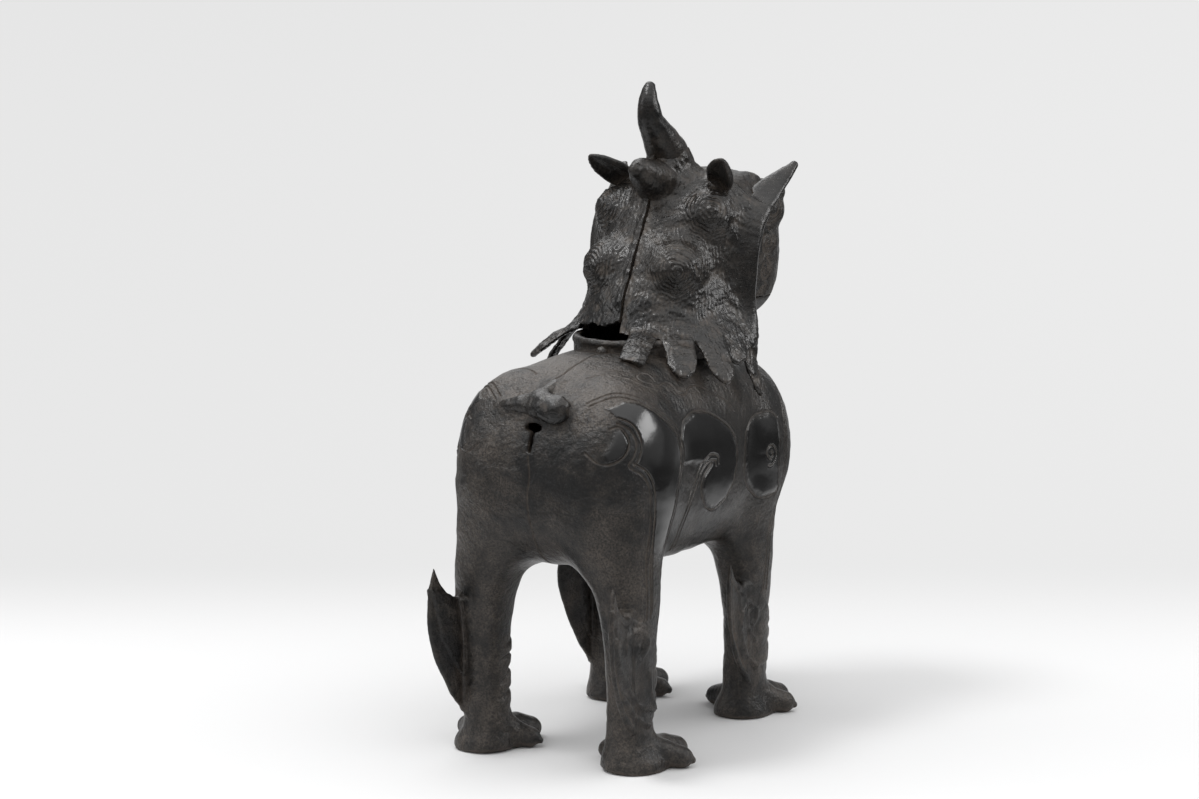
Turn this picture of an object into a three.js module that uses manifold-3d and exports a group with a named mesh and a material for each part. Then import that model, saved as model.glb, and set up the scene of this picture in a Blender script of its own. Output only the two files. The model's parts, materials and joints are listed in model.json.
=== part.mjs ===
// Bronze incense burner: a standing horned beast whose head is a hinged lid on an open neck.
// Millimetres, +Z up, paws on z = 0. The beast faces -Y and its right side is -X.
import * as THREE from "three";
import { mergeVertices } from "three/addons/utils/BufferGeometryUtils.js";
import Module from "manifold-3d";

const wasm = await Module();
wasm.setup();

// Clearances
const FIT_GAP = 0.3; // between pieces that meet
const SEAM_GAP = 0.3; // between the two halves of the trunk
const PARTING_GAP = 0.8; // open parting line between the two sides of the mane
const LOCK_CLEARANCE = 1.2; // from the hanging mane to the back under it

// Trunk: a hollow rounded body, cut flat underneath
const TRUNK_HALF_WIDTH = 48;
const TRUNK_HALF_LENGTH = 90;
const TRUNK_EQUATOR = 128; // height of its widest line
const TRUNK_RISE = 52; // from that line to the back
const TRUNK_DROP = 48; // from that line to where the round underside would end
const TRUNK_SQUARENESS = 2.9;
const TRUNK_WALL = 4;
const BELLY_HEIGHT = 88;
const HAUNCH = { inset: 20, setback: 32, rise: 2, halfX: 22.5, halfY: 30, halfZ: 41 };
const SHOULDER = { inset: 21, setback: 30, rise: 0, halfX: 22.5, halfY: 28, halfZ: 37 };
const VENT_WIDTH = 2.2; // slit under the tail
const VENT_HEIGHT = 11;
const VENT_RISE = 20; // middle of the slit above the widest line

// Belly plate over the oval core hole
const PLATE_HALF_WIDTH = 25;
const PLATE_HALF_LENGTH = 45;
const PLATE_THICKNESS = 2.4;
const PLATE_LAND = 4; // how far it overlaps the hole's edge

// Neck collar
const COLLAR_HALF_WIDTH = 31;
const COLLAR_HALF_LENGTH = 40;
const COLLAR_WALL = 3;
const COLLAR_HEIGHT = 5; // above the top of the back
const COLLAR_FORWARD = 16; // its centre, ahead of the trunk's middle
const LUG_RADIUS = 2.6; // small lug behind the collar

// Legs: each station is height, half width, half depth and tuck under the trunk's side
const REAR_LEG_OUTSET = 2.8; // outer side of the leg, beyond the trunk's half width
const REAR_LEG_SETBACK = 24;
const REAR_LEG_STATIONS = [
  [8, 13, 15, 0], [30, 12.2, 13.6, 0], [52, 12.8, 14.4, 0],
  [75, 14.5, 16, 0], [97, 17, 19, 0.8], [118, 18, 19, 6],
];
const FRONT_LEG_OUTSET = 1.2;
const FRONT_LEG_SETBACK = 43;
const FRONT_LEG_STATIONS = [
  [8, 12, 14, 0], [30, 11.6, 13, 0], [52, 12.4, 14, 0],
  [75, 14, 16, 0], [97, 16, 19, 0.8], [118, 17, 20, 6],
];

// Paws
const PAW_FORWARD = 5; // ahead of the leg
const REAR_PAW_SPLAY = 4.5; // outwards
const FRONT_PAW_SPLAY = -2.5;
const PAW_HALF_WIDTH = 16;
const PAW_HALF_LENGTH = 19.5;
const PAW_HALF_HEIGHT = 13;
const PAW_MIDDLE = 5; // height of its widest line
const PAW_SQUARENESS = 3;
const TOE_COUNT = 4;
const TOE_HALF_WIDTH = 4.8;
const TOE_HALF_LENGTH = 7.5;
const TOE_HALF_HEIGHT = 7;
const TOE_HEIGHT = 4.5;

// Leg fins: upright blades behind each leg, with an upswept tip
const FIN_THICKNESS = 3;
const FIN_INSET = 6.5; // from the leg's outer side
// heights of foot, root and tip, then distances behind the middle of the leg
const REAR_FIN = { foot: 20, root: 69, tip: 88, toe: 7, belly: 42, tipReach: 28, notch: 22 };
const FRONT_FIN = { foot: 20, root: 64, tip: 79, toe: 7, belly: 45, tipReach: 29, notch: 22 };

// Tail: two lobes that lie on the rump
const TAIL_RISE = 31; // above the trunk's widest line
const TAIL_SETBACK = 9; // from the trunk's rear end
const TAIL_RIGHT = { offset: -12, halfX: 13, halfY: 9, halfZ: 8 };
const TAIL_LEFT = { offset: 10, halfX: 12, halfY: 7, halfZ: 6.5 };

// Head, measured from the middle of the collar's top edge
const FACE_JOINT = -30; // plane where the face meets the mane
const MANE_WALL = 3;
// each station is height, half width, rear edge and half depth
const MANE_STATIONS = [
  [-3.5, 45, 31.5, 41.4], [0, 42.5, 28, 39.1], [7, 37, 24.3, 38], [15, 34.5, 21.8, 37], [28, 34, 17.5, 36],
  [37.5, 34, 12.6, 34.5], [47, 33, 6.6, 32], [57, 29.5, 0.5, 28], [66, 23.5, -8, 22.5], [73, 16, -16, 15.5],
  [78, 7.5, -24, 7.5],
];
// lip that flares from the front of the mane: each station is its centre, half width and half thickness
const LIP_STATIONS = [
  [39, -22.5, 4, 5.5, 1.6], [37.8, -22.5, 15, 5.2, 1.6], [38.3, -23, 35, 5.2, 1.6], [38.4, -25.5, 45, 5.4, 1.6],
  [38.2, -29, 51, 5.6, 1.6], [38.6, -33.5, 55.5, 5.6, 1.6],
];
// each lock is the angle from straight behind, reach, height of its tip and half width
const LOCKS_RIGHT = [[15, 59, -6, 12.5], [38, 61, -11, 12], [60, 60, -18, 11], [84, 54, -27, 11]];
const LOCKS_LEFT = [[54, 60, -11, 12], [78, 56, -19, 11]];
const LOCK_HALF_THICKNESS = 1.5;
const LOCK_BEND = 1.7; // how late each lock turns down
// ragged edge where two locks have broken away, as x and height
const BREAK_EDGE = [[26, -2], [22, 1.4], [18, -0.4], [13, 1.2], [8, -0.6], [4, 1], [-1, -0.4]];
const CURLS = [{ x: 17.3, y: -17.3, z: 52.8, radius: 12 }, { x: 14.9, y: 1.2, z: 30.5, radius: 14 }];

const SKULL = { y: -44, z: 37, halfX: 41, halfY: 29, halfZ: 37 };
const SKULL_SQUARENESS = 3;
const FACE_WALL = 4;
const MUZZLE = { y: -62, z: 33, halfX: 24, halfY: 19.5, halfZ: 13 };
const NOSE = { y: -77, z: 39, halfX: 11, halfY: 5, halfZ: 6 };
const EYE = { x: 16, y: -70, z: 49, radius: 7 };
const BROW = { x: 22, y: -66, z: 57, halfX: 18, halfY: 9, halfZ: 7 };
const THROAT_HEIGHT = 6; // underside of the jaw
const JAW_TOP = 14;
const JAW_FLOOR = 9.5;
const MOUTH_TOP = 21;
const MOUTH_HALF_WIDTH = 19;

// each horn, knob, tuft and ear station is its centre, half width and half thickness
const HORN_STATIONS = [
  [0, -21, 68, 13, 12.5], [0, -20.4, 78, 11.4, 11], [0, -17.2, 84, 10.2, 9.8],
  [0, -10.8, 90.6, 8.8, 8.4], [0, -5.8, 97.5, 7.6, 6.9], [0, -3.4, 104.4, 5.9, 5.2],
  [0, -3.9, 110.3, 3.6, 3.3], [0, -1.9, 114.7, 0.9, 0.8],
];
const KNOB_STATIONS = [
  [0, -14, 58, 8, 8], [0, -7, 66, 7.4, 7.4], [0, 2, 73.5, 6.6, 6.6],
  [0, 7, 77, 4.6, 4.6], [0, 9, 78.2, 1.2, 1.2],
];
const TUFT_STATIONS = [
  [38.8, -36.5, 58, 6, 2], [39.8, -43, 63, 6, 2], [42, -50, 68, 4.6, 1.9], [44.6, -56, 72.6, 2.6, 1.5],
  [46.4, -60, 75.7, 0.8, 0.7],
];
const SKULL_TOP = SKULL.z + SKULL.halfZ; // the ears keep their height over it
const EAR_STATIONS = [
  [20, -33, SKULL_TOP - 12, 5, 2.4], [23.2, -27.8, SKULL_TOP - 7.5, 5.6, 2.4], [27.5, -20.5, SKULL_TOP - 2.3, 6, 2.3],
  [31.5, -14, SKULL_TOP + 2, 4.6, 2], [34, -10, SKULL_TOP + 5, 2.6, 1.5], [35, -8.2, SKULL_TOP + 6.3, 0.8, 0.7],
];

// Flange inside the head that rests on the collar
const FLANGE_THICKNESS = 3;
const FLANGE_HALF_OPENING = 27;
const FLANGE_FRONT_BRIDGE = 11; // depth of its front, where the hinge is fixed
const FLANGE_REAR = 8; // where its two arms end

// Hinge under the chin
const PIN_RADIUS = 1.4;
const KNUCKLE_RADIUS = 3.2;
const PIN_HEIGHT = 2; // above the collar's top edge
const HINGE_HALF_WIDTH = 12;
const HEAD_LEAF_HALF_WIDTH = 4.5;
const LEAF_THICKNESS = 2;
const HEAD_LEAF_LENGTH = 14;
const BODY_LEAF_DROP = 10;
const PIN_HEAD = 1.2;
const RIVET_RADIUS = 1.2;
const BODY_RIVET_OFFSET = 7.5;
const BODY_RIVET_DROP = 5.5;
const HEAD_RIVET_PITCH = 4.4;

// Mesh detail: sides and steps of the round forms
const TRUNK_DETAIL = [28, 16];
const SWELL_DETAIL = [16, 9];
const CAVITY_DETAIL = [18, 10];
const CAVITY_SWELL_DETAIL = [10, 6];
const HEAD_DETAIL = [20, 12];
const SMALL_DETAIL = [12, 7];
const RING_SIDES = 12;
const BLADE_SIDES = 10;
const MANE_SIDES = 26;
const OVAL_SEGMENTS = 12;
const TOE_DETAIL = [8, 5];
const BEYOND = 400; // larger than the whole object

const SIDES = { left: 1, right: -1 };
const BACK_TOP = TRUNK_EQUATOR + TRUNK_RISE;
const COLLAR_TOP = BACK_TOP + COLLAR_HEIGHT;
const NECK = new THREE.Vector3(0, -COLLAR_FORWARD, COLLAR_TOP);
const PIN_FORWARD = COLLAR_HALF_LENGTH + KNUCKLE_RADIUS + FIT_GAP; // pin ahead of the collar's centre
const AXIS_X = new THREE.Vector3(1, 0, 0);
const LIP_ACROSS = new THREE.Vector3(0.87, -0.5, 0);
const TUFT_ACROSS = new THREE.Vector3(0.85, 0, -0.53);
const EAR_ACROSS = new THREE.Vector3(0.857, -0.166, -0.487);

// Solids

// A closed geometry as a solid that can be joined and cut.
function solid(geometry) {
  const bare = geometry.clone();
  bare.deleteAttribute("normal");
  bare.deleteAttribute("uv");
  const merged = mergeVertices(bare, 1e-4);
  return new wasm.Manifold(new wasm.Mesh({
    numProp: 3,
    vertProperties: Float32Array.from(merged.attributes.position.array),
    triVerts: Uint32Array.from(merged.index.array),
  }));
}

// A solid as a geometry for a mesh.
function surface(form) {
  const mesh = form.getMesh();
  const geometry = new THREE.BufferGeometry();
  geometry.setAttribute("position", new THREE.BufferAttribute(mesh.vertProperties, 3));
  geometry.setIndex(new THREE.BufferAttribute(mesh.triVerts, 1));
  geometry.computeVertexNormals();
  return geometry;
}

// The same piece for the other side of the body.
function mirrored(geometry) {
  const copy = geometry.clone().scale(-1, 1, 1);
  const index = copy.index.array;
  for (let i = 0; i < index.length; i += 3) {
    [index[i + 1], index[i + 2]] = [index[i + 2], index[i + 1]];
  }
  copy.computeVertexNormals();
  return copy;
}

// A rounded form between a ball (squareness 2) and a box, with its own rise and drop.
function pebble(halfX, halfY, rise, drop, squareness, [sides, steps]) {
  const geometry = new THREE.SphereGeometry(1, sides, steps).rotateX(Math.PI / 2);
  const points = geometry.attributes.position;
  for (let i = 0; i < points.count; i++) {
    const u = new THREE.Vector3().fromBufferAttribute(points, i);
    const sum = Math.abs(u.x) ** squareness + Math.abs(u.y) ** squareness + Math.abs(u.z) ** squareness;
    u.multiplyScalar(sum ** (-1 / squareness));
    points.setXYZ(i, u.x * halfX, u.y * halfY, u.z * (u.z > 0 ? rise : drop));
  }
  return geometry;
}

function ball(x, y, z, halfX, halfY, halfZ, [sides, steps] = SMALL_DETAIL) {
  const geometry = new THREE.SphereGeometry(1, sides, steps).rotateX(Math.PI / 2);
  return solid(geometry.scale(halfX, halfY, halfZ).translate(x, y, z));
}

function block(x0, x1, y0, y1, z0, z1) {
  const geometry = new THREE.BoxGeometry(x1 - x0, y1 - y0, z1 - z0);
  return solid(geometry.translate((x0 + x1) / 2, (y0 + y1) / 2, (z0 + z1) / 2));
}

// An upright oval prism.
function ovalPrism(halfX, halfY, y, z0, z1) {
  const outline = new THREE.Shape().absellipse(0, 0, halfX, halfY, 0, 2 * Math.PI);
  const options = { depth: z1 - z0, bevelEnabled: false, curveSegments: OVAL_SEGMENTS };
  return solid(new THREE.ExtrudeGeometry(outline, options).translate(0, y, z0));
}

// A round bar along X.
function barX(radius, x0, x1, y, z) {
  const geometry = new THREE.CylinderGeometry(radius, radius, x1 - x0, RING_SIDES).rotateZ(Math.PI / 2);
  return solid(geometry.translate((x0 + x1) / 2, y, z));
}

// A closed skin over a stack of rings with equal counts, each counter-clockwise seen from the last.
function loft(rings) {
  const count = rings[0].length;
  const last = (rings.length - 1) * count;
  const faces = [];
  for (let start = 0; start < last; start += count) {
    for (let i = 0; i < count; i++) {
      const a = start + i;
      const b = start + ((i + 1) % count);
      faces.push(a, b, b + count, a, b + count, a + count);
    }
  }
  for (let i = 1; i + 1 < count; i++) {
    faces.push(0, i + 1, i, last, last + i, last + i + 1);
  }
  const geometry = new THREE.BufferGeometry().setFromPoints(rings.flat());
  geometry.setIndex(faces);
  return solid(geometry);
}

// An oval section carried along stations [x, y, z, half width, half thickness].
function sweep(stations, across, sides) {
  const centres = stations.map(([x, y, z]) => new THREE.Vector3(x, y, z));
  const rings = stations.map(([, , , halfWidth, halfThickness], i) => {
    const from = centres[Math.max(i - 1, 0)];
    const to = centres[Math.min(i + 1, centres.length - 1)];
    const along = to.clone().sub(from).normalize();
    const normal = along.clone().cross(across).normalize();
    const wide = normal.clone().cross(along);
    return Array.from({ length: sides }, (_, k) => {
      const turn = (2 * Math.PI * k) / sides;
      return centres[i].clone()
        .addScaledVector(wide, halfWidth * Math.cos(turn))
        .addScaledVector(normal, halfThickness * Math.sin(turn));
    });
  });
  return loft(rings);
}

// Trunk

// The trunk's outer form, grown by an offset all round.
function trunkForm(offset, coreDetail = TRUNK_DETAIL, swellDetail = SWELL_DETAIL) {
  const core = pebble(
    TRUNK_HALF_WIDTH + offset, TRUNK_HALF_LENGTH + offset, TRUNK_RISE + offset, TRUNK_DROP + offset,
    TRUNK_SQUARENESS, coreDetail,
  );
  let form = solid(core.translate(0, 0, TRUNK_EQUATOR));
  for (const side of Object.values(SIDES)) {
    for (const [swell, end] of [[HAUNCH, 1], [SHOULDER, -1]]) {
      form = form.add(ball(
        side * (TRUNK_HALF_WIDTH - swell.inset), end * (TRUNK_HALF_LENGTH - swell.setback),
        TRUNK_EQUATOR + swell.rise,
        swell.halfX + offset, swell.halfY + offset, swell.halfZ + offset, swellDetail,
      ));
    }
  }
  return form.subtract(block(-BEYOND, BEYOND, -BEYOND, BEYOND, -BEYOND, BELLY_HEIGHT - offset));
}

const trunkKeepOut = trunkForm(FIT_GAP);

function neckBore(offset, z0, z1) {
  const halfX = COLLAR_HALF_WIDTH - COLLAR_WALL + offset;
  const halfY = COLLAR_HALF_LENGTH - COLLAR_WALL + offset;
  return ovalPrism(halfX, halfY, -COLLAR_FORWARD, z0, z1);
}

function trunkShell() {
  const coreHole = ovalPrism(
    PLATE_HALF_WIDTH - PLATE_LAND, PLATE_HALF_LENGTH - PLATE_LAND, 0, 0, TRUNK_EQUATOR,
  );
  const vent = block(
    -VENT_WIDTH / 2, VENT_WIDTH / 2, 0, BEYOND,
    TRUNK_EQUATOR + VENT_RISE - VENT_HEIGHT / 2, TRUNK_EQUATOR + VENT_RISE + VENT_HEIGHT / 2,
  );
  return trunkForm(0)
    .subtract(trunkForm(-TRUNK_WALL, CAVITY_DETAIL, CAVITY_SWELL_DETAIL))
    .subtract(coreHole)
    .subtract(neckBore(0, TRUNK_EQUATOR, BEYOND))
    .subtract(vent);
}

function oneSide(form, side, gap) {
  const [x0, x1] = side > 0 ? [gap / 2, BEYOND] : [-BEYOND, -gap / 2];
  return form.intersect(block(x0, x1, -BEYOND, BEYOND, -BEYOND, BEYOND));
}

function bellyPlate() {
  const top = BELLY_HEIGHT - FIT_GAP;
  return ovalPrism(PLATE_HALF_WIDTH, PLATE_HALF_LENGTH, 0, top - PLATE_THICKNESS, top);
}

function collarBlank(offset) {
  const halfX = COLLAR_HALF_WIDTH + offset;
  const halfY = COLLAR_HALF_LENGTH + offset;
  return ovalPrism(halfX, halfY, -COLLAR_FORWARD, TRUNK_EQUATOR, COLLAR_TOP + offset);
}

// Shank of a rivet between the hinge and the collar, along Y.
function bodyRivet(side, radius) {
  const y0 = NECK.y - PIN_FORWARD;
  const y1 = NECK.y - COLLAR_HALF_LENGTH + COLLAR_WALL + 2 * RIVET_RADIUS;
  const geometry = new THREE.CylinderGeometry(radius, radius, y1 - y0, RING_SIDES);
  return solid(geometry.translate(side * BODY_RIVET_OFFSET, (y0 + y1) / 2, COLLAR_TOP - BODY_RIVET_DROP));
}

function neckCollar() {
  let form = collarBlank(0).subtract(neckBore(0, 0, BEYOND)).subtract(trunkKeepOut);
  for (const side of Object.values(SIDES)) {
    form = form.subtract(bodyRivet(side, RIVET_RADIUS + FIT_GAP));
  }
  return form;
}

function collarLug() {
  const y = NECK.y + COLLAR_HALF_LENGTH + LUG_RADIUS / 2;
  return ball(0, y, BACK_TOP, LUG_RADIUS, LUG_RADIUS, LUG_RADIUS)
    .subtract(collarBlank(FIT_GAP))
    .subtract(trunkKeepOut);
}

// Legs, left side; the right side is mirrored

const REAR_LEG = {
  outer: TRUNK_HALF_WIDTH + REAR_LEG_OUTSET,
  y: TRUNK_HALF_LENGTH - REAR_LEG_SETBACK,
  splay: REAR_PAW_SPLAY,
  stations: REAR_LEG_STATIONS,
  fin: REAR_FIN,
};
const FRONT_LEG = {
  outer: TRUNK_HALF_WIDTH + FRONT_LEG_OUTSET,
  y: FRONT_LEG_SETBACK - TRUNK_HALF_LENGTH,
  splay: FRONT_PAW_SPLAY,
  stations: FRONT_LEG_STATIONS,
  fin: FRONT_FIN,
};

// Leg and paw in one casting, grown by an offset all round.
function legForm({ outer, y, splay, stations }, offset) {
  const column = stations.map(([z, halfX, halfY, tuck]) => (
    [outer - tuck - halfX, y, z, halfX + offset, halfY + offset]
  ));
  const pawX = column[0][0] + splay;
  const pawY = y - PAW_FORWARD;
  const pawTop = PAW_HALF_HEIGHT + offset;
  const paw = pebble(
    PAW_HALF_WIDTH + offset, PAW_HALF_LENGTH + offset, pawTop, pawTop, PAW_SQUARENESS, SWELL_DETAIL,
  );
  let form = sweep(column, AXIS_X, RING_SIDES).add(solid(paw.translate(pawX, pawY, PAW_MIDDLE)));
  const pitch = (2 * (PAW_HALF_WIDTH - TOE_HALF_WIDTH)) / (TOE_COUNT - 1);
  for (let toe = 0; toe < TOE_COUNT; toe++) {
    const sideways = (toe - (TOE_COUNT - 1) / 2) * pitch;
    const outward = Math.abs(sideways / PAW_HALF_WIDTH);
    const forward = PAW_HALF_LENGTH * (1 - outward ** PAW_SQUARENESS) ** (1 / PAW_SQUARENESS);
    form = form.add(ball(
      pawX + sideways, pawY - forward, TOE_HEIGHT,
      TOE_HALF_WIDTH + offset, TOE_HALF_LENGTH + offset, TOE_HALF_HEIGHT + offset, TOE_DETAIL,
    ));
  }
  return form.subtract(block(-BEYOND, BEYOND, -BEYOND, BEYOND, -BEYOND, 0));
}

function leg(spec) {
  return legForm(spec, 0).subtract(trunkKeepOut);
}

// An upright blade whose front edge is buried in the leg, with a notch below its upswept tip.
function fin(spec) {
  const { foot, root, tip, toe, belly, tipReach, notch } = spec.fin;
  const outline = new THREE.Shape();
  outline.moveTo(0, foot);
  outline.lineTo(toe, foot);
  outline.bezierCurveTo(tipReach, foot, belly, root, tipReach, tip);
  outline.quadraticCurveTo(notch, root, 0, root);
  const options = { depth: FIN_THICKNESS, bevelEnabled: false, curveSegments: OVAL_SEGMENTS };
  const blade = new THREE.ExtrudeGeometry(outline, options);
  const upright = new THREE.Matrix4().makeBasis(
    new THREE.Vector3(0, 1, 0), new THREE.Vector3(0, 0, 1), AXIS_X,
  );
  blade.applyMatrix4(upright).translate(spec.outer - FIN_INSET - FIN_THICKNESS / 2, spec.y, 0);
  return solid(blade).subtract(legForm(spec, FIT_GAP));
}

function tail() {
  const y = TRUNK_HALF_LENGTH - TAIL_SETBACK;
  const z = TRUNK_EQUATOR + TAIL_RISE;
  const [right, left] = [TAIL_RIGHT, TAIL_LEFT].map(({ offset, halfX, halfY, halfZ }) =>
    ball(offset, y, z, halfX, halfY, halfZ, SWELL_DETAIL));
  return right.add(left).subtract(trunkKeepOut);
}

// Head, in the head's own frame at the middle of the collar's top edge

const bodyUnderHead = solid(
  surface(trunkForm(LOCK_CLEARANCE).add(collarBlank(FIT_GAP))).translate(-NECK.x, -NECK.y, -NECK.z),
);

// The mane's bell, grown by an offset all round and let down below its rim.
function maneForm(offset, letDown) {
  const top = MANE_STATIONS.at(-1)[0];
  const rings = MANE_STATIONS.map(([height, halfWidth, rear, halfDepth], i) => {
    const z = (height * (top + offset)) / top - (i === 0 ? letDown : 0);
    const halfX = halfWidth + offset;
    const halfY = halfDepth + offset;
    const y = rear - halfDepth;
    return Array.from({ length: MANE_SIDES }, (_, k) => {
      const turn = (2 * Math.PI * k) / MANE_SIDES;
      return new THREE.Vector3(halfX * Math.cos(turn), y + halfY * Math.sin(turn), z);
    });
  });
  return loft(rings);
}

// The face's outer form, grown by an offset all round.
function skullForm(offset) {
  const { y, z, halfX, halfY, halfZ } = SKULL;
  const rise = halfZ + offset;
  const form = pebble(halfX + offset, halfY + offset, rise, rise, SKULL_SQUARENESS, HEAD_DETAIL);
  return solid(form.translate(0, y, z));
}

const maneKeepOut = maneForm(FIT_GAP, 0);
const skullKeepOut = skullForm(FIT_GAP);
const [, RIM_HALF_WIDTH, RIM_REAR, RIM_HALF_DEPTH] = MANE_STATIONS[1];

// A leaf that hangs from the mane's rim, outwards and down to its tip.
function lock([degrees, reach, tipHeight, halfWidth], side) {
  const angle = THREE.MathUtils.degToRad(degrees);
  const away = new THREE.Vector3(side * Math.sin(angle), Math.cos(angle), 0);
  const across = new THREE.Vector3(away.y, -away.x, 0);
  const centre = new THREE.Vector3(0, RIM_REAR - RIM_HALF_DEPTH, 0);
  const rim = 1 / Math.hypot(away.x / RIM_HALF_WIDTH, away.y / RIM_HALF_DEPTH);
  const station = (share, width, thickness) => {
    const distance = rim + (reach - rim) * share - MANE_WALL / 2;
    const height = MANE_WALL + (tipHeight - MANE_WALL) * share ** LOCK_BEND;
    const at = centre.clone().addScaledVector(away, distance);
    return [at.x, at.y, height, halfWidth * width, LOCK_HALF_THICKNESS * thickness];
  };
  const stations = [station(0, 1, 1), station(0.35, 1.05, 1), station(0.75, 0.75, 1), station(1, 0.2, 0.6)];
  return sweep(stations, across, BLADE_SIDES);
}

function brokenEdge() {
  const outline = new THREE.Shape(BREAK_EDGE.map(([x, z]) => new THREE.Vector2(x, z)));
  outline.lineTo(BREAK_EDGE.at(-1)[0], -RIM_HALF_WIDTH);
  outline.lineTo(BREAK_EDGE[0][0], -RIM_HALF_WIDTH);
  const cut = new THREE.ExtrudeGeometry(outline, { depth: BEYOND, bevelEnabled: false });
  return solid(cut.rotateX(Math.PI / 2).translate(0, BEYOND, 0));
}

// One side of the mane: half a bell with curl bosses, and hanging locks along its rim.
function mane(side, locks) {
  let form = maneForm(0, 0);
  for (const { x, y, z, radius } of CURLS) {
    form = form.add(ball(side * x, y, z, radius, radius, radius));
  }
  form = form.subtract(maneForm(-MANE_WALL, MANE_WALL));
  if (side === SIDES.left) {
    form = form.subtract(brokenEdge());
  }
  for (const spec of locks) {
    form = form.add(lock(spec, side));
  }
  form = form.subtract(bodyUnderHead);
  form = form.subtract(block(-BEYOND, BEYOND, -BEYOND, FACE_JOINT, -BEYOND, BEYOND));
  const lip = sweep(LIP_STATIONS, LIP_ACROSS, BLADE_SIDES).subtract(maneForm(-MANE_WALL, MANE_WALL));
  form = form.add(side === SIDES.left ? lip : solid(mirrored(surface(lip)))).subtract(skullInFront);
  return oneSide(form, side, PARTING_GAP);
}

const skullInFront = skullForm(FIT_GAP).intersect(block(-BEYOND, BEYOND, -BEYOND, FACE_JOINT, -BEYOND, BEYOND));
const frontOfJoint = block(-BEYOND, BEYOND, -BEYOND, FACE_JOINT - FIT_GAP, -BEYOND, BEYOND);

function faceMask() {
  const { y, z, halfX, halfY, halfZ } = MUZZLE;
  let form = skullForm(0)
    .add(solid(pebble(halfX, halfY, halfZ, halfZ, SKULL_SQUARENESS, SWELL_DETAIL).translate(0, y, z)))
    .add(ball(0, NOSE.y, NOSE.z, NOSE.halfX, NOSE.halfY, NOSE.halfZ));
  for (const side of Object.values(SIDES)) {
    form = form
      .add(ball(side * EYE.x, EYE.y, EYE.z, EYE.radius, EYE.radius, EYE.radius))
      .add(ball(side * BROW.x, BROW.y, BROW.z, BROW.halfX, BROW.halfY, BROW.halfZ));
  }
  const mouth = block(-MOUTH_HALF_WIDTH, MOUTH_HALF_WIDTH, -BEYOND, SKULL.y, 0, MOUTH_TOP);
  return form
    .subtract(skullForm(-FACE_WALL))
    .subtract(mouth)
    .subtract(block(-BEYOND, BEYOND, -BEYOND, BEYOND, -BEYOND, JAW_TOP + FIT_GAP))
    .intersect(frontOfJoint);
}

function lowerJaw() {
  const hollow = skullForm(-FACE_WALL).intersect(block(-BEYOND, BEYOND, -BEYOND, BEYOND, JAW_FLOOR, BEYOND));
  return skullForm(0)
    .intersect(block(-BEYOND, BEYOND, -BEYOND, BEYOND, THROAT_HEIGHT, JAW_TOP))
    .subtract(hollow)
    .intersect(frontOfJoint);
}

// The same stations with a fitting gap all round.
function grown(stations) {
  return stations.map(([x, y, z, halfWidth, halfThickness]) => (
    [x, y, z, halfWidth + FIT_GAP, halfThickness + FIT_GAP]
  ));
}

// Pieces set on the crown are cut to sit on the mane and the face.
function onCrown(form) {
  return form.subtract(maneKeepOut).subtract(skullKeepOut);
}

const FLANGE_FRONT = -COLLAR_HALF_LENGTH + FIT_GAP;

// Vertical shank through the head's hinge leaf and the flange.
function headRivet(index, radius) {
  const y = FLANGE_FRONT + FLANGE_FRONT_BRIDGE - 2 * RIVET_RADIUS - index * HEAD_RIVET_PITCH;
  const z0 = -FIT_GAP;
  const z1 = FIT_GAP + FLANGE_THICKNESS + FIT_GAP + LEAF_THICKNESS;
  const geometry = new THREE.CylinderGeometry(radius, radius, z1 - z0, RING_SIDES).rotateX(Math.PI / 2);
  return solid(geometry.translate(0, y, (z0 + z1) / 2));
}

const HEAD_RIVETS = [0, 1];

function neckFlange() {
  const slab = block(-BEYOND, BEYOND, FLANGE_FRONT, FLANGE_REAR, FIT_GAP, FIT_GAP + FLANGE_THICKNESS);
  const openingFront = FLANGE_FRONT + FLANGE_FRONT_BRIDGE;
  const halfLength = COLLAR_HALF_LENGTH - FLANGE_FRONT_BRIDGE;
  const opening = ovalPrism(FLANGE_HALF_OPENING, halfLength, openingFront + halfLength, -BEYOND, BEYOND);
  let form = maneForm(-MANE_WALL - FIT_GAP, 0).intersect(slab).subtract(opening);
  for (const index of HEAD_RIVETS) {
    form = form.subtract(headRivet(index, RIVET_RADIUS + FIT_GAP));
  }
  return form;
}

function headLeaf() {
  const z0 = FIT_GAP + FLANGE_THICKNESS + FIT_GAP;
  const strap = block(
    -HEAD_LEAF_HALF_WIDTH, HEAD_LEAF_HALF_WIDTH, -PIN_FORWARD, HEAD_LEAF_LENGTH - PIN_FORWARD,
    z0, z0 + LEAF_THICKNESS,
  );
  let form = barX(KNUCKLE_RADIUS, -HEAD_LEAF_HALF_WIDTH, HEAD_LEAF_HALF_WIDTH, -PIN_FORWARD, PIN_HEIGHT)
    .add(strap)
    .subtract(barX(PIN_RADIUS + FIT_GAP, -BEYOND, BEYOND, -PIN_FORWARD, PIN_HEIGHT));
  for (const index of HEAD_RIVETS) {
    form = form.subtract(headRivet(index, RIVET_RADIUS + FIT_GAP));
  }
  return form;
}

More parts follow.
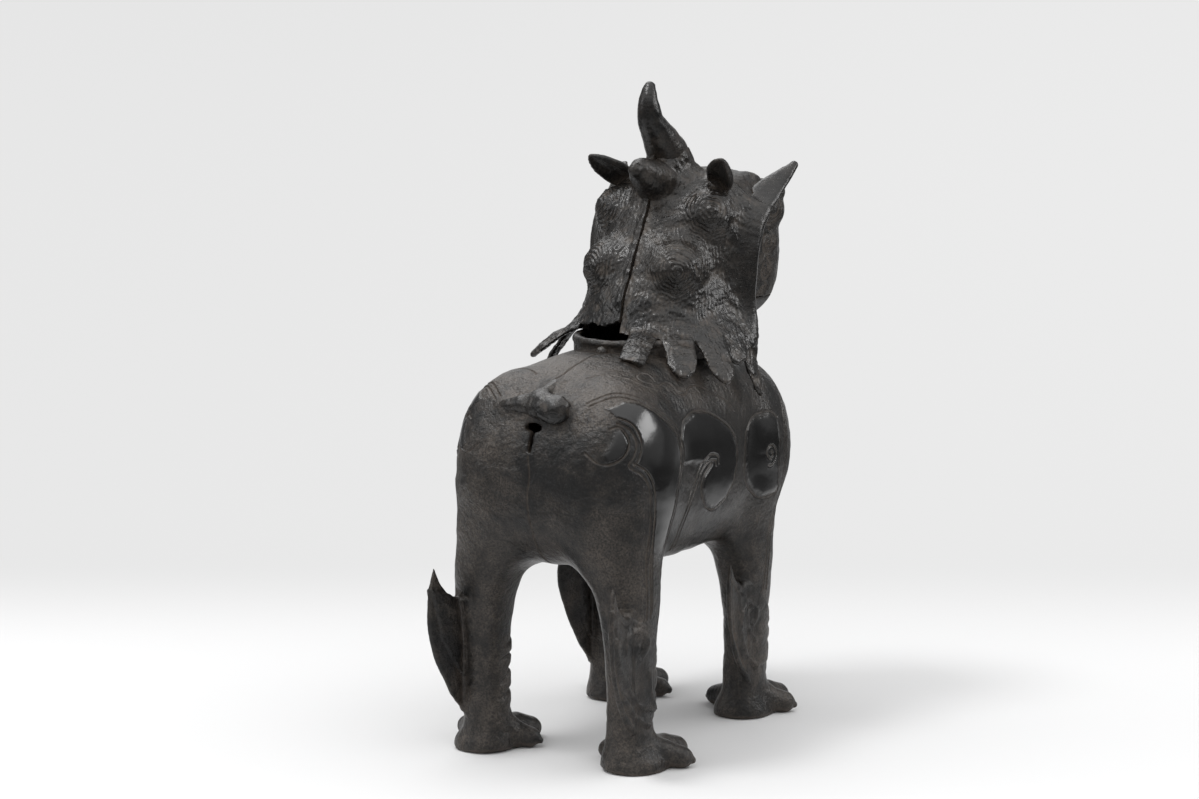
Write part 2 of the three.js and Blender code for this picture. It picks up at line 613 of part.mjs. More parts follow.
// Hinge leaf on the collar, with the two outer knuckles
function bodyLeaf() {
  const pinY = NECK.y - PIN_FORWARD;
  const pinZ = COLLAR_TOP + PIN_HEIGHT;
  const inner = HEAD_LEAF_HALF_WIDTH + FIT_GAP;
  const strap = block(
    -HINGE_HALF_WIDTH, HINGE_HALF_WIDTH, pinY + KNUCKLE_RADIUS - LEAF_THICKNESS, NECK.y,
    COLLAR_TOP - BODY_LEAF_DROP, pinZ,
  );
  const notch = block(
    -inner, inner, -BEYOND, BEYOND, pinZ - KNUCKLE_RADIUS - FIT_GAP, BEYOND,
  );
  let form = strap
    .add(barX(KNUCKLE_RADIUS, -HINGE_HALF_WIDTH, HINGE_HALF_WIDTH, pinY, pinZ))
    .subtract(notch)
    .subtract(block(-BEYOND, BEYOND, pinY + KNUCKLE_RADIUS, BEYOND, COLLAR_TOP - FIT_GAP, BEYOND))
    .subtract(collarBlank(FIT_GAP))
    .subtract(trunkKeepOut)
    .subtract(barX(PIN_RADIUS + FIT_GAP, -BEYOND, BEYOND, pinY, pinZ));
  for (const side of Object.values(SIDES)) {
    form = form.subtract(bodyRivet(side, RIVET_RADIUS + FIT_GAP));
  }
  return form;
}

function hingePin() {
  const pinY = NECK.y - PIN_FORWARD;
  const pinZ = COLLAR_TOP + PIN_HEIGHT;
  const end = HINGE_HALF_WIDTH + FIT_GAP;
  let form = barX(PIN_RADIUS, -end, end, pinY, pinZ);
  for (const side of Object.values(SIDES)) {
    form = form.add(ball(side * end, pinY, pinZ, PIN_HEAD, 2 * PIN_RADIUS, 2 * PIN_RADIUS)
      .subtract(block(-end, end, -BEYOND, BEYOND, -BEYOND, BEYOND)));
  }
  return form;
}

// Scene graph

const burner = new THREE.Group();
const body = new THREE.Group();
const head = new THREE.Group();
head.position.copy(NECK);
burner.add(body, head);

const FINISHES = {
  polished: { color: 0x1d1b19, roughness: 0.36 },
  cast: { color: 0x262220, roughness: 0.5 },
  inner: { color: 0x33281f, roughness: 0.62 },
  hinge: { color: 0x2f2922, roughness: 0.45 },
};

function put(group, name, geometry, finish) {
  const material = new THREE.MeshStandardMaterial({ ...FINISHES[finish], metalness: 0.85 });
  const mesh = new THREE.Mesh(geometry, material);
  mesh.name = name;
  group.add(mesh);
}

const shell = trunkShell();
for (const [name, side] of Object.entries(SIDES)) {
  put(body, `trunk_${name}`, surface(oneSide(shell, side, SEAM_GAP)), "polished");
}
put(body, "belly_plate", surface(bellyPlate()), "inner");
put(body, "neck_collar", surface(neckCollar()), "cast");
put(body, "collar_lug", surface(collarLug()), "cast");
put(body, "tail", surface(tail()), "cast");

for (const [place, spec] of [["front", FRONT_LEG], ["rear", REAR_LEG]]) {
  const legGeometry = surface(leg(spec));
  const finGeometry = surface(fin(spec));
  put(body, `leg_${place}_left`, legGeometry, "polished");
  put(body, `leg_${place}_right`, mirrored(legGeometry), "polished");
  put(body, `fin_${place}_left`, finGeometry, "cast");
  put(body, `fin_${place}_right`, mirrored(finGeometry), "cast");
}

put(body, "hinge_leaf_body", surface(bodyLeaf()), "hinge");
put(body, "hinge_pin", surface(hingePin()), "hinge");
for (const [name, side] of Object.entries(SIDES)) {
  put(body, `body_rivet_${name}`, surface(bodyRivet(side, RIVET_RADIUS)), "hinge");
}

put(head, "mane_left", surface(mane(SIDES.left, LOCKS_LEFT)), "cast");
put(head, "mane_right", surface(mane(SIDES.right, LOCKS_RIGHT)), "cast");
put(head, "face_mask", surface(faceMask()), "cast");
put(head, "lower_jaw", surface(lowerJaw()), "cast");
put(head, "horn", surface(onCrown(sweep(HORN_STATIONS, AXIS_X, RING_SIDES))), "polished");

const knob = onCrown(sweep(KNOB_STATIONS, AXIS_X, RING_SIDES))
  .subtract(sweep(grown(HORN_STATIONS), AXIS_X, RING_SIDES));
put(head, "crown_knob", surface(knob), "cast");

const tuft = sweep(TUFT_STATIONS, TUFT_ACROSS, BLADE_SIDES)
  .subtract(sweep(grown(LIP_STATIONS), LIP_ACROSS, BLADE_SIDES));
const ear = sweep(EAR_STATIONS, EAR_ACROSS, BLADE_SIDES);
for (const [name, form] of [["crown_tuft", tuft], ["ear", ear]]) {
  const geometry = surface(onCrown(form));
  put(head, `${name}_left`, geometry, "cast");
  put(head, `${name}_right`, mirrored(geometry), "cast");
}

put(head, "neck_flange", surface(neckFlange()), "inner");
put(head, "hinge_leaf_head", surface(headLeaf()), "hinge");
for (const index of HEAD_RIVETS) {
  put(head, `head_rivet_${index + 1}`, surface(headRivet(index, RIVET_RADIUS)), "hinge");
}

export default burner;
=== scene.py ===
"""A cast bronze incense burner: a standing horned beast whose head is the hinged lid."""
import functools
import json
import math

import bmesh
import bpy
import numpy as np
import openvdb
from bpy.props import FloatProperty, FloatVectorProperty, PointerProperty
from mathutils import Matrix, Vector
from mathutils.kdtree import KDTree


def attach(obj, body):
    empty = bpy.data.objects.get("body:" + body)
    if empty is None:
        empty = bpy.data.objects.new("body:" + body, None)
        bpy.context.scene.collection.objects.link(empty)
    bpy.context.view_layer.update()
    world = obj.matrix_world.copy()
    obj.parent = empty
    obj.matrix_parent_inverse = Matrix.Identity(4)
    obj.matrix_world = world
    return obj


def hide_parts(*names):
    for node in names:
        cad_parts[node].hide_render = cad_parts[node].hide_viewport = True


bl_info = {
    "name": "Bronze Beast Burner",
    "version": (1, 0, 0),
    "blender": (4, 5, 0),
    "location": "View3D > Sidebar > Burner",
    "description": "Dresses the frame of a bronze incense burner with its cast and patinated pieces",
    "category": "Object",
}

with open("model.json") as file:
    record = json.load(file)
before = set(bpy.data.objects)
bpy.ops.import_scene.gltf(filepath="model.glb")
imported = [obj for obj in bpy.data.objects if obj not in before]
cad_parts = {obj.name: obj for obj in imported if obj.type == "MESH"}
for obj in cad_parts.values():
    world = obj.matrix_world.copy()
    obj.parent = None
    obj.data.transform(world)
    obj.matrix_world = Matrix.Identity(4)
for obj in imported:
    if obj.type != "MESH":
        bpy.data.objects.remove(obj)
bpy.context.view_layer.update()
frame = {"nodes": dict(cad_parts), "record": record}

# Fields and outlines are in millimetres in the frame's axes, and meshes are made in metres.
MM = 0.001
SIDES = (("left", 1), ("right", -1))
NECK_Y, NECK_Z = -16.0, 185.0


# Fields: signed distances, near their zero level, of the forms that the casting is blended from.

def pebble(p, middle, half, power=2.0):
    """A rounded block, or a column where x and y alone are given: oval at power 2, squarer above it."""
    u = [np.abs(a - m) / h for a, m, h in zip(p, middle, half)]
    size = np.maximum(sum(v ** power for v in u), 1e-12) ** (1 / power)
    slope = np.sqrt(sum((v ** (power - 1) / h) ** 2 for v, h in zip(u, half)))
    return (size - 1) * size ** (power - 1) / np.maximum(slope, 1e-9)


def melt(a, b, reach):
    """The union of two fields with a fillet of about that reach."""
    h = np.clip(0.5 + 0.5 * (b - a) / reach, 0, 1)
    return b + (a - b) * h - reach * h * (1 - h)


def trim(a, b, reach):
    """What two fields have in common, with a rounded edge of about that reach."""
    return -melt(-a, -b, reach)


def common(*fields):
    """What fields have in common, with sharp edges."""
    return functools.reduce(np.maximum, fields)


def spans(p, stations):
    """Offsets from each run between stations of x, y, z and sizes, and the run's sizes at that place."""
    for start, end in zip(stations, stations[1:]):
        a, b = np.array(start[:3]), np.array(end[:3])
        run = b - a
        along = np.clip(sum((c - s) * r for c, s, r in zip(p, a, run)) / (run @ run), 0, 1)
        off = [c - s - along * r for c, s, r in zip(p, a, run)]
        yield off, [s + along * (e - s) for s, e in zip(start[3:], end[3:])]


def stroke(p, stations):
    """A round bar through stations of x, y, z and radius."""
    bars = (np.sqrt(sum(o ** 2 for o in off)) - radius for off, (radius,) in spans(p, stations))
    return functools.reduce(np.minimum, bars)


def blade(p, stations, across):
    """A flat leaf through stations of x, y, z, half width and half thickness, its width along across."""
    wide = np.array(across) / np.linalg.norm(across)
    found = None
    for off, (half_width, half_thick) in spans(p, stations):
        u = sum(o * w for o, w in zip(off, wide))
        rest = np.maximum(sum(o * o for o in off) - u * u, 0)
        size = np.sqrt((u / half_width) ** 2 + rest / half_thick ** 2) + 1e-9
        slope = np.sqrt((u / half_width ** 2) ** 2 + rest / half_thick ** 4) / size
        flat = (size - 1) / np.maximum(slope, 1e-9)
        found = flat if found is None else np.minimum(found, flat)
    return found


def eased(heights, stations, column_of):
    """One column of a table of stations, read smoothly at any height."""
    knots = np.array([s[0] for s in stations], float)
    values = np.array([s[column_of] for s in stations], float)
    slopes = np.gradient(values, knots)
    at = np.clip(heights, knots[0], knots[-1])
    i = np.clip(np.searchsorted(knots, at) - 1, 0, len(knots) - 2)
    gap = knots[i + 1] - knots[i]
    t = (at - knots[i]) / gap
    return ((2 * t ** 3 - 3 * t ** 2 + 1) * values[i] + (t ** 3 - 2 * t ** 2 + t) * gap * slopes[i]
            + (3 * t ** 2 - 2 * t ** 3) * values[i + 1] + (t ** 3 - t ** 2) * gap * slopes[i + 1])


# The trunk and the legs, which the caster runs into one skin.
TRUNK_HALF = (48.0, 90.0)
TRUNK_EQUATOR, TRUNK_RISE, TRUNK_DROP = 128.0, 52.0, 48.0
TRUNK_POWER = 2.9
BELLY, BELLY_EDGE = 88.0, 5.0
HAUNCH = ((28.0, 58.0, 130.0), (22.5, 30.0, 41.0))
SHOULDER = ((27.0, -60.0, 128.0), (22.5, 28.0, 37.0))
MUSCLE_FILLET, LEG_FILLET, PAW_FILLET = 11.0, 13.0, 7.0
LEG_POWER, LEG_FOOT = 2.3, 3.0
# Stations of height, half width, half depth, tuck under the trunk and shift backwards.
REAR_LEG = {
    "side": 50.8, "y": 66.0, "splay": 3.0,
    "stations": (
        (4, 10.4, 12.0, 3.6, 0), (20, 9.7, 11.0, 3.8, 0), (38, 9.7, 11.2, 3.6, 0), (54, 10.4, 12.2, 2.8, 0),
        (68, 12.0, 14.0, 1.4, 0), (80, 14.0, 15.8, 0.8, 0), (92, 16.0, 17.0, 1.8, 0),
        (106, 17.0, 16.5, 5, 0), (118, 17.5, 15.0, 9, -1))}
FRONT_LEG = {
    "side": 49.2, "y": -47.0, "splay": -1.5,
    "stations": (
        (4, 10.2, 11.8, 3.0, 0), (20, 9.5, 10.9, 3.2, 0), (38, 9.5, 11.1, 3.0, 0), (54, 10.2, 12.0, 2.4, 0),
        (68, 11.8, 13.8, 1.2, 0), (80, 13.6, 15.8, 0.8, 0), (92, 15.4, 17.2, 1.8, 0),
        (106, 16.4, 17.0, 5, 0), (118, 17.0, 15.5, 9, 0))}
LEGS = {"rear": REAR_LEG, "front": FRONT_LEG}
PAW_HALF, PAW_MIDDLE, PAW_AHEAD, PAW_POWER, SOLE_EDGE = (13.5, 15.5, 7.0), 2.4, 4.0, 2.2, 0.8
# Toes: turn outwards from straight ahead, length and thickness.
TOES = ((-1.25, 20.0, 5.6), (-0.45, 23.0, 6.4), (0.3, 23.0, 6.4), (1.05, 19.0, 6.0))
TOE_ROOT, TOE_KNUCKLE, TOE_TAPER, TOE_FILLET = 5.0, 8.0, 0.9, 1.8
TOE_HEIGHTS = (7.0, 6.8, 4.8)
# Claws: distance ahead of the toe's tip, height and radius.
CLAW, CLAW_FILLET = ((3.0, 4.6, 2.3), (4.8, 3.4, 1.6)), 0.9
LEG_CUT = 86.0
COLLAR_HALF, COLLAR_WALL = (31.0, 40.0), 3.0
COLLAR_BORE = [half - COLLAR_WALL for half in COLLAR_HALF]
CORE_HOLE = (21.0, 41.0)
NECK_BORE_FOOT, CORE_HOLE_TOP = 150.0, 110.0
# The vent: half width, height and half height of its slit, then height, stretch and radius of its hole.
VENT_SLIT, VENT_HOLE, VENT_END = (1.0, 148.0, 5.5), (153.2, 2.2, 2.0), 60.0


def trunk_form(p, inset=0.0):
    """The barrel of the body with its haunches and shoulders."""
    x, y, z = p
    across = np.abs(x)
    half_z = np.where(z > TRUNK_EQUATOR, np.float32(TRUNK_RISE - inset), np.float32(TRUNK_DROP - inset))
    half = (TRUNK_HALF[0] - inset, TRUNK_HALF[1] - inset, half_z)
    barrel = pebble(p, (0, 0, TRUNK_EQUATOR), half, TRUNK_POWER)
    for middle, size in (HAUNCH, SHOULDER):
        muscle = pebble((across, y, z), middle, [s - inset for s in size])
        barrel = melt(barrel, muscle, MUSCLE_FILLET)
    return trim(barrel, BELLY + inset - z, BELLY_EDGE)


def leg_form(p, leg):
    """A pair of legs without their paws."""
    x, y, z = p
    half_x = eased(z, leg["stations"], 1)
    half_y = eased(z, leg["stations"], 2)
    middle_x = leg["side"] - eased(z, leg["stations"], 3) - half_x
    middle_y = leg["y"] + eased(z, leg["stations"], 4)
    shank = pebble((np.abs(x), y), (middle_x, middle_y), (half_x, half_y), LEG_POWER)
    return common(shank, z - leg["stations"][-1][0], LEG_FOOT - z)


def paw_form(p, leg):
    """The paw under a leg: a low pad with four spread toes and their claws."""
    x, y, z = p
    foot = (np.abs(x), y, z)
    first = leg["stations"][0]
    middle = np.array((leg["side"] - first[3] - first[1] + leg["splay"], leg["y"] - PAW_AHEAD))
    pad = pebble(foot, (*middle, PAW_MIDDLE), PAW_HALF, PAW_POWER)
    for turn, reach, thick in TOES:
        way = np.array((math.sin(turn), -math.cos(turn)))
        spots = [middle + way * ahead for ahead in (TOE_ROOT, reach - TOE_KNUCKLE, reach)]
        radii = (thick, thick, thick - TOE_TAPER)
        toe = stroke(foot, [(*spot, height, r) for spot, height, r in zip(spots, TOE_HEIGHTS, radii)])
        pad = melt(pad, toe, TOE_FILLET)
        claw = stroke(foot, [(*(spots[-1] + way * ahead), height, r) for ahead, height, r in CLAW])
        pad = melt(pad, claw, CLAW_FILLET)
    return pad


# The tail: a root and two lobes, as stations of x, y, z and radius, and their mound.
TAIL = (
    ((0, 66, 168.5, 4), (0, 77, 164, 5)),
    ((5, 80, 161.6, 4.2), (0, 81.6, 161.8, 5.4), (-6, 82.8, 162, 6.4), (-11, 83, 161.3, 6.6)),
    ((1, 78.5, 163, 4.6), (8, 80.6, 162.4, 4.4), (14, 80.6, 161.6, 3.4), (19.5, 79.4, 160.8, 2.4)))
TAIL_MOUND, TAIL_FILLET, LOBE_FILLET = 1.2, 5.0, 2.5


def tail_lobes(p):
    root, right, left = (stroke(p, lobe) for lobe in TAIL)
    return melt(melt(right, left, LOBE_FILLET), root, TAIL_FILLET)


def body_form(p):
    """The outer skin of the body without its paws, with the mound that the tail rises from."""
    skin = melt(trunk_form(p), tail_lobes(p) + TAIL_MOUND, TAIL_FILLET)
    for leg in LEGS.values():
        skin = melt(skin, leg_form(p, leg), LEG_FILLET)
    return skin


def limb_form(p, leg):
    """The outer skin round one pair of legs, with their paws, cut flat underneath."""
    limb = melt(leg_form(p, leg), paw_form(p, leg), PAW_FILLET)
    return trim(melt(trunk_form(p), limb, LEG_FILLET), -p[2], SOLE_EDGE)


def vent_form(p):
    """The keyhole under the tail."""
    x, y, z = p
    half_width, middle, half_height = VENT_SLIT
    slit = np.maximum(np.abs(x) - half_width, np.abs(z - middle) - half_height)
    height, stretch, radius = VENT_HOLE
    hole = np.sqrt((x / stretch) ** 2 + (z - height) ** 2) - radius
    return np.maximum(np.minimum(slit, hole), VENT_END - y)


def cavity_form(p, wall):
    """The hollow of the body with its neck opening, core hole and vent slit."""
    x, y, z = p
    neck = np.maximum(pebble((x, y), (0.0, NECK_Y), COLLAR_BORE), NECK_BORE_FOOT - z)
    core = np.maximum(pebble((x, y), (0.0, 0.0), CORE_HOLE), z - CORE_HOLE_TOP)
    return np.minimum(np.minimum(trunk_form(p, wall), neck), np.minimum(core, vent_form(p)))


# Meshes from fields.
PROBE_STEP = 0.12
LEAST_STEEPNESS, LONGEST_STEP = 0.05, 0.7
PLANE_CLEARANCE = 1e-7


def lattice(low, high, pitch, mirrored):
    """The three axes of a sampling box, from the middle plane outwards where it is mirrored."""
    start = [0.0 if mirrored and i == 0 else round(a / pitch) * pitch for i, a in enumerate(low)]
    return [np.arange(a, b + pitch, pitch, dtype=np.float32) for a, b in zip(start, high)]


def polygonise(form, low, high, pitch, mirrored=False):
    """Points and quads on the zero level of a field, drawn onto it from the lattice."""
    axes = lattice(low, high, pitch, mirrored)
    values = form(np.meshgrid(*axes, indexing="ij", sparse=True)).astype(np.float32)
    origin = np.array([axis[0] for axis in axes], float)
    if mirrored:
        values = np.concatenate([values[:0:-1], values])
        origin[0] = -axes[0][-1]
    grid = openvdb.FloatGrid()
    grid.copyFromArray(np.ascontiguousarray(values))
    points, quads = grid.convertToQuads(0.0)
    points = points.astype(float) * pitch + origin
    return settle(points, form, pitch), quads[:, ::-1]


def probe(form, points):
    """A field's value and slope at points."""
    value = form(points.T)
    slope = np.empty_like(points)
    for axis in range(3):
        shift = np.zeros(3)
        shift[axis] = PROBE_STEP
        slope[:, axis] = (form((points + shift).T) - form((points - shift).T)) / (2 * PROBE_STEP)
    return value, slope


def unit(rows):
    """Directions of length 1."""
    return rows / (np.linalg.norm(rows, axis=1)[:, None] + 1e-9)


def settle(points, form, pitch, rounds=2):
    """Moves points along the slope until they lie on the zero level."""
    points = points.copy()
    for _ in range(rounds):
        value, slope = probe(form, points)
        steep = np.maximum((slope ** 2).sum(1), LEAST_STEEPNESS)
        step = np.clip(value / steep, -LONGEST_STEP * pitch, LONGEST_STEP * pitch)
        points -= step[:, None] * slope
    return points


def mesh_object(name, points, faces):
    """A smooth-shaded mesh object in metres from points in millimetres."""
    mesh = bpy.data.meshes.new(name)
    mesh.from_pydata((np.asarray(points) * MM).tolist(), [], faces.tolist())
    mesh.validate()
    mesh.polygons.foreach_set("use_smooth", np.ones(len(mesh.polygons), bool))
    mesh.update()
    made = bpy.data.objects.new(name, mesh)
    bpy.context.scene.collection.objects.link(made)
    return made


def cast(name, form, pitch, mirrored=False):
    """A piece drawn on its field."""
    return mesh_object(name + "_cast", *polygonise(form, *BOXES[name], pitch, mirrored))


def handed(name, points, faces, sign):
    """A piece from the points of the left one, mirrored for the right."""
    return mesh_object(name + "_cast", points * (sign, 1, 1), faces if sign > 0 else faces[:, ::-1])


def points_of(piece):
    """A mesh's points in millimetres."""
    flat = np.empty(len(piece.data.vertices) * 3)
    piece.data.vertices.foreach_get("co", flat)
    return flat.reshape(-1, 3) / MM


def move_points(piece, points):
    piece.data.vertices.foreach_set("co", (points * MM).ravel())
    piece.data.update()


def paint(piece, **layers):
    """Stores a value for each point, or the same one for all, for the materials to read."""
    attributes = piece.data.attributes
    for name, values in layers.items():
        layer = attributes.get(name) or attributes.new(name, "FLOAT", "POINT")
        layer.data.foreach_set("value", np.broadcast_to(values, len(layer.data)).astype(np.float32))


def refine(piece, near):
    """Halves the edges between points that are marked as near, so that they can carry finer relief."""
    work = bmesh.new()
    work.from_mesh(piece.data)
    work.verts.ensure_lookup_table()
    edges = [e for e in work.edges if near[e.verts[0].index] and near[e.verts[1].index]]
    bmesh.ops.subdivide_edges(work, edges=edges, cuts=1, use_grid_fill=True)
    work.to_mesh(piece.data)
    work.free()


def cut(piece, at, towards):
    """Keeps what lies on the far side of a plane, in millimetres, and closes the cut with a flat face."""
    work = bmesh.new()
    work.from_mesh(piece.data)
    geometry = work.verts[:] + work.edges[:] + work.faces[:]
    result = bmesh.ops.bisect_plane(
        work, geom=geometry, dist=PLANE_CLEARANCE, plane_co=Vector(at) * MM, plane_no=Vector(towards),
        clear_inner=True)
    rim = [e for e in result["geom_cut"]
           if isinstance(e, bmesh.types.BMEdge) and e.is_valid and e.is_boundary]
    filled = bmesh.ops.triangle_fill(
        work, edges=rim, use_beauty=False, use_dissolve=False, normal=-Vector(towards))
    for face in (f for f in filled["geom"] if isinstance(f, bmesh.types.BMFace)):
        face.smooth = False
    for edge in rim:
        edge.smooth = False
    work.to_mesh(piece.data)
    work.free()


# Surface detail: lines cut into the skin, and the unevenness of the casting.

def through(points, spacing=0.35):
    """Samples of a smooth line through points."""
    knots = np.asarray(points, float)
    padded = np.vstack((2 * knots[0] - knots[1], knots, 2 * knots[-1] - knots[-2]))
    samples = []
    for a, b, c, d in zip(padded, padded[1:], padded[2:], padded[3:]):
        count = max(2, int(np.linalg.norm(c - b) / spacing))
        t = np.linspace(0, 1, count, endpoint=False)[:, None]
        samples.append(0.5 * (2 * b + (c - a) * t + (2 * a - 5 * b + 4 * c - d) * t ** 2
                              + (3 * b - 3 * c + d - a) * t ** 3))
    samples.append(knots[-1:])
    return np.vstack(samples)


def smooth_stations(stations, spacing=2.0):
    """Closer stations of a bar or leaf on a smooth line."""
    return [tuple(s) for s in through(stations, spacing)]


def distance_to(samples, points, limit=4.0):
    """How far each point lies from the nearest sample, up to a limit."""
    tree = KDTree(len(samples))
    for i, sample in enumerate(samples):
        tree.insert(sample, i)
    tree.balance()
    near = np.full(len(points), limit)
    low, high = samples.min(0) - limit, samples.max(0) + limit
    for i in np.flatnonzero(((points > low) & (points < high)).all(1)):
        near[i] = min(limit, tree.find(points[i])[2])
    return near


def ripple(points, wavelength, seed, count=20):
    """Smooth unevenness between about -1 and 1 with that wavelength."""
    rng = np.random.default_rng(seed)
    ways = rng.normal(size=(count, 3))
    spread = rng.uniform(0.6, 1.4, (count, 1))
    ways *= (2 * math.pi / wavelength) * spread / np.linalg.norm(ways, axis=1)[:, None]
    waves = np.sin(points @ ways.T + rng.uniform(0, 2 * math.pi, count))
    return waves.sum(1) / math.sqrt(count)


def swell(value, low, high):
    """A smooth step from 0 at low to 1 at high."""
    t = np.clip((value - low) / (high - low), 0, 1)
    return t * t * (3 - 2 * t)


def groove(away, half_width):
    """A rounded groove, 1 at its bottom, and the burr that the tool raises beside it."""
    floor = np.exp(-(away / half_width) ** 2)
    burr = np.exp(-((away - 2.1 * half_width) / (0.8 * half_width)) ** 2)
    return floor, burr


# Lines incised on each side of the body, as points on the side where x is positive.
HAUNCH_ARCH = (
    (24, 78, 163), (32, 70, 166), (38, 65, 165), (43, 58, 161), (44, 49, 154), (45, 42, 147), (46, 40, 138),
    (48, 46, 124), (46, 49, 110), (48, 54, 95), (50, 58, 82), (50, 61, 66))
HAUNCH_CRESCENT = (
    (35, 80, 154), (38, 77, 155), (41, 76, 152), (42.5, 76, 148), (42, 78, 144), (40, 81, 141),
    (36.5, 84.5, 139.5), (32, 86, 140.5), (27, 86, 144))
HAUNCH_TRAIL = (
    (37, 77, 156.5), (41.6, 74, 154), (44, 73, 148), (44, 75, 142.6), (43.7, 78, 138.5), (47, 72, 133.7),
    (48.5, 69, 127.5), (47, 67.6, 115), (47.5, 69, 106), (49, 71.5, 92), (50, 71.5, 70))
LEG_LINE = ((47, 65, 118), (48.4, 66.5, 105), (50, 67.5, 89), (50.5, 68, 72))
FLANK_DROP = (
    (46, 41, 134), (46, 39, 140), (45.5, 37, 146), (44.7, 32, 152), (44.5, 21, 155.5), (45, 10, 154),
    (46.4, 0, 150), (47, -10, 144), (47.7, -15.6, 136), (47.8, -15.6, 127), (47.7, -12.5, 119),
    (47, -6, 112), (46.7, 4, 108.5), (46.7, 10, 109.5), (47, 15.3, 113), (47.7, 18.5, 120),
    (47.8, 16.6, 125.5), (48, 9.4, 130.5))
FLANK_STEM = (
    (48, 3, 129.6), (48, 4, 133), (48, 10.4, 134.6), (47.7, 16.6, 132.5), (47.7, 21, 129), (47.4, 24, 124),
    (46.8, 29.4, 117), (45.6, 33.4, 110), (43, 35, 102), (39, 33, 94))
SHOULDER_LOOP = (
    (46.6, -56, 143), (44, -49, 146), (45.7, -35, 146), (46.8, -27, 141.5), (47.3, -25, 134.7),
    (47.5, -24, 125.6), (47, -26, 117), (45.7, -33, 110.6), (45, -41, 107), (45, -53, 107.5),
    (46, -57, 110), (48, -55, 121), (48.5, -56, 132.6))
SHOULDER_EDGE = (
    (39.6, -67, 157), (46.5, -63, 144), (49, -61.5, 129), (47, -62.6, 113.6), (44, -62, 105), (47, -52, 96),
    (49, -46, 80.5), (49, -44, 62))
CLOUD_SCROLL = (
    (34, 38, 170), (30, 37, 172.7), (28, 43, 172.7), (30, 47, 171), (32.6, 46.4, 169), (35, 39, 168),
    (36, 30, 169), (38, 28, 166.7), (40, 27.6, 164), (41, 22.7, 163), (40, 16.7, 165.4), (40, 9, 165),
    (42, 2, 162), (44, -7, 158), (46, -16.5, 151))
CLOUD_BAND = ((13, 61, 172.4), (20, 56, 172.5), (27, 54, 171), (34, 52, 169), (37, 43, 166))
DOUBLE_LINES = (HAUNCH_ARCH, HAUNCH_TRAIL, FLANK_STEM, SHOULDER_EDGE)
SINGLE_LINES = (HAUNCH_CRESCENT, FLANK_DROP, SHOULDER_LOOP, CLOUD_SCROLL, CLOUD_BAND, LEG_LINE)
DOUBLE_GAP = 2.6
# The curl inside the shoulder's loop: its middle, radius and turns.
SHOULDER_CURL = ((47, -47.4, 127), 5.5, 1.8)
# How far a line may be drawn at each step onto the skin, and how near to a line its groove is looked for.
LINE_PULL, LINE_REACH = 8.0, 3.0
# Where spirals start, as a share of their radius, and their points in a turn.
SPIRAL_START, SPIRAL_STEPS = 0.15, 28
# Distances from a line within which the skin is made finer, twice, and the rise of the burr beside a groove.
REFINE_REACH, BURR_RISE = (2.5, 1.3), 0.16
SPINE = ((0, 24, 180), (0, 45, 176), (0, 62, 171), (0, 76, 165))
RUMP_SEAM = ((0.6, 89, 141), (-0.5, 90, 132), (0.7, 89.5, 122), (-0.4, 87, 108), (0.5, 82, 98), (0, 72, 90))
# The brown, grainy area round the tail: its middle, its spread along each axis, and where it fades.
TAIL_ROOT, TAIL_SPREAD, TAIL_FADE = (0.0, 84.0, 157.0), (0.75, 0.6, 1.0), (10.0, 34.0)
# Fields that stay raised and polished between their lines, as outlines of y and z.
POLISHED = [[point[1:] for point in line] for line in (
    HAUNCH_ARCH + HAUNCH_TRAIL[::-1], HAUNCH_CRESCENT, FLANK_DROP, SHOULDER_LOOP)]
# Their rise, and how much of the casting's unevenness is polished off them.
FIELD_RISE, FIELD_CALM = 0.45, 0.7
# Ribs that stand on the legs and run out over the fins.
RIBS = {
    "rear": (
        (
            (45.8, 98, 78.5), (45.8, 96, 67.5), (45.8, 93, 54.3), (45.8, 86, 44.4), (46.5, 77.6, 35.4),
            (49.3, 72.4, 30.4), (49.8, 61.8, 27)),
        ((45.8, 86, 37.3), (46, 77.6, 29.7), (48.4, 73.8, 24.9), (50.4, 64.3, 21.2)),
        (
            (45.8, 86, 57), (45.8, 84.7, 64), (46, 77.7, 66), (49, 73.4, 64.2), (49.7, 70.4, 60),
            (49.4, 72, 54.7), (47.5, 75, 53), (46.5, 76.7, 55.2), (47.2, 75.6, 58.7)),
        ((50.5, 67.4, 46), (50.7, 66.4, 37.2), (49.5, 60.5, 27.8))),
    "front": (
        (
            (44.9, -36.9, 56.6), (44.2, -34.3, 57.6), (44.2, -27.9, 54.5), (44.2, -26, 49.4),
            (44.2, -26.7, 42.6), (44.2, -30.7, 35), (44.9, -37.4, 28.9), (48, -41.9, 25.2)),
        (
            (47, -39.6, 38.8), (44.4, -36.7, 43), (44.2, -33, 48.6), (44.2, -34.4, 52.7),
            (45.3, -37.4, 55.3), (47, -39.4, 53.9), (47.4, -39.9, 50.8), (46.6, -39, 47.8),
            (45.3, -37.6, 46.7)))}
RIB_RISE, RIB_HALF_WIDTH, RIB_WEAR, RIB_CLEARANCE = 1.1, 1.25, 0.2, 1.5
# Leaves that lie raised on the outside of the legs below the fins, as outlines of y and z.
LEAVES = (
    [
        (99, 79), (96, 67.5), (93, 54.3), (86, 44.4), (77.6, 35.4), (72.4, 30.4), (61.8, 26.5), (55, 26),
        (55, 46), (62, 58), (70, 67), (78, 71), (90, 76)],
    [
        (-24, 72), (-26, 49.4), (-26.7, 42.6), (-30.7, 35), (-37.4, 28.9), (-41.9, 25.2), (-52, 26),
        (-55, 40), (-52, 52), (-45, 59), (-36, 67)])
LEAF_RISE = 0.9
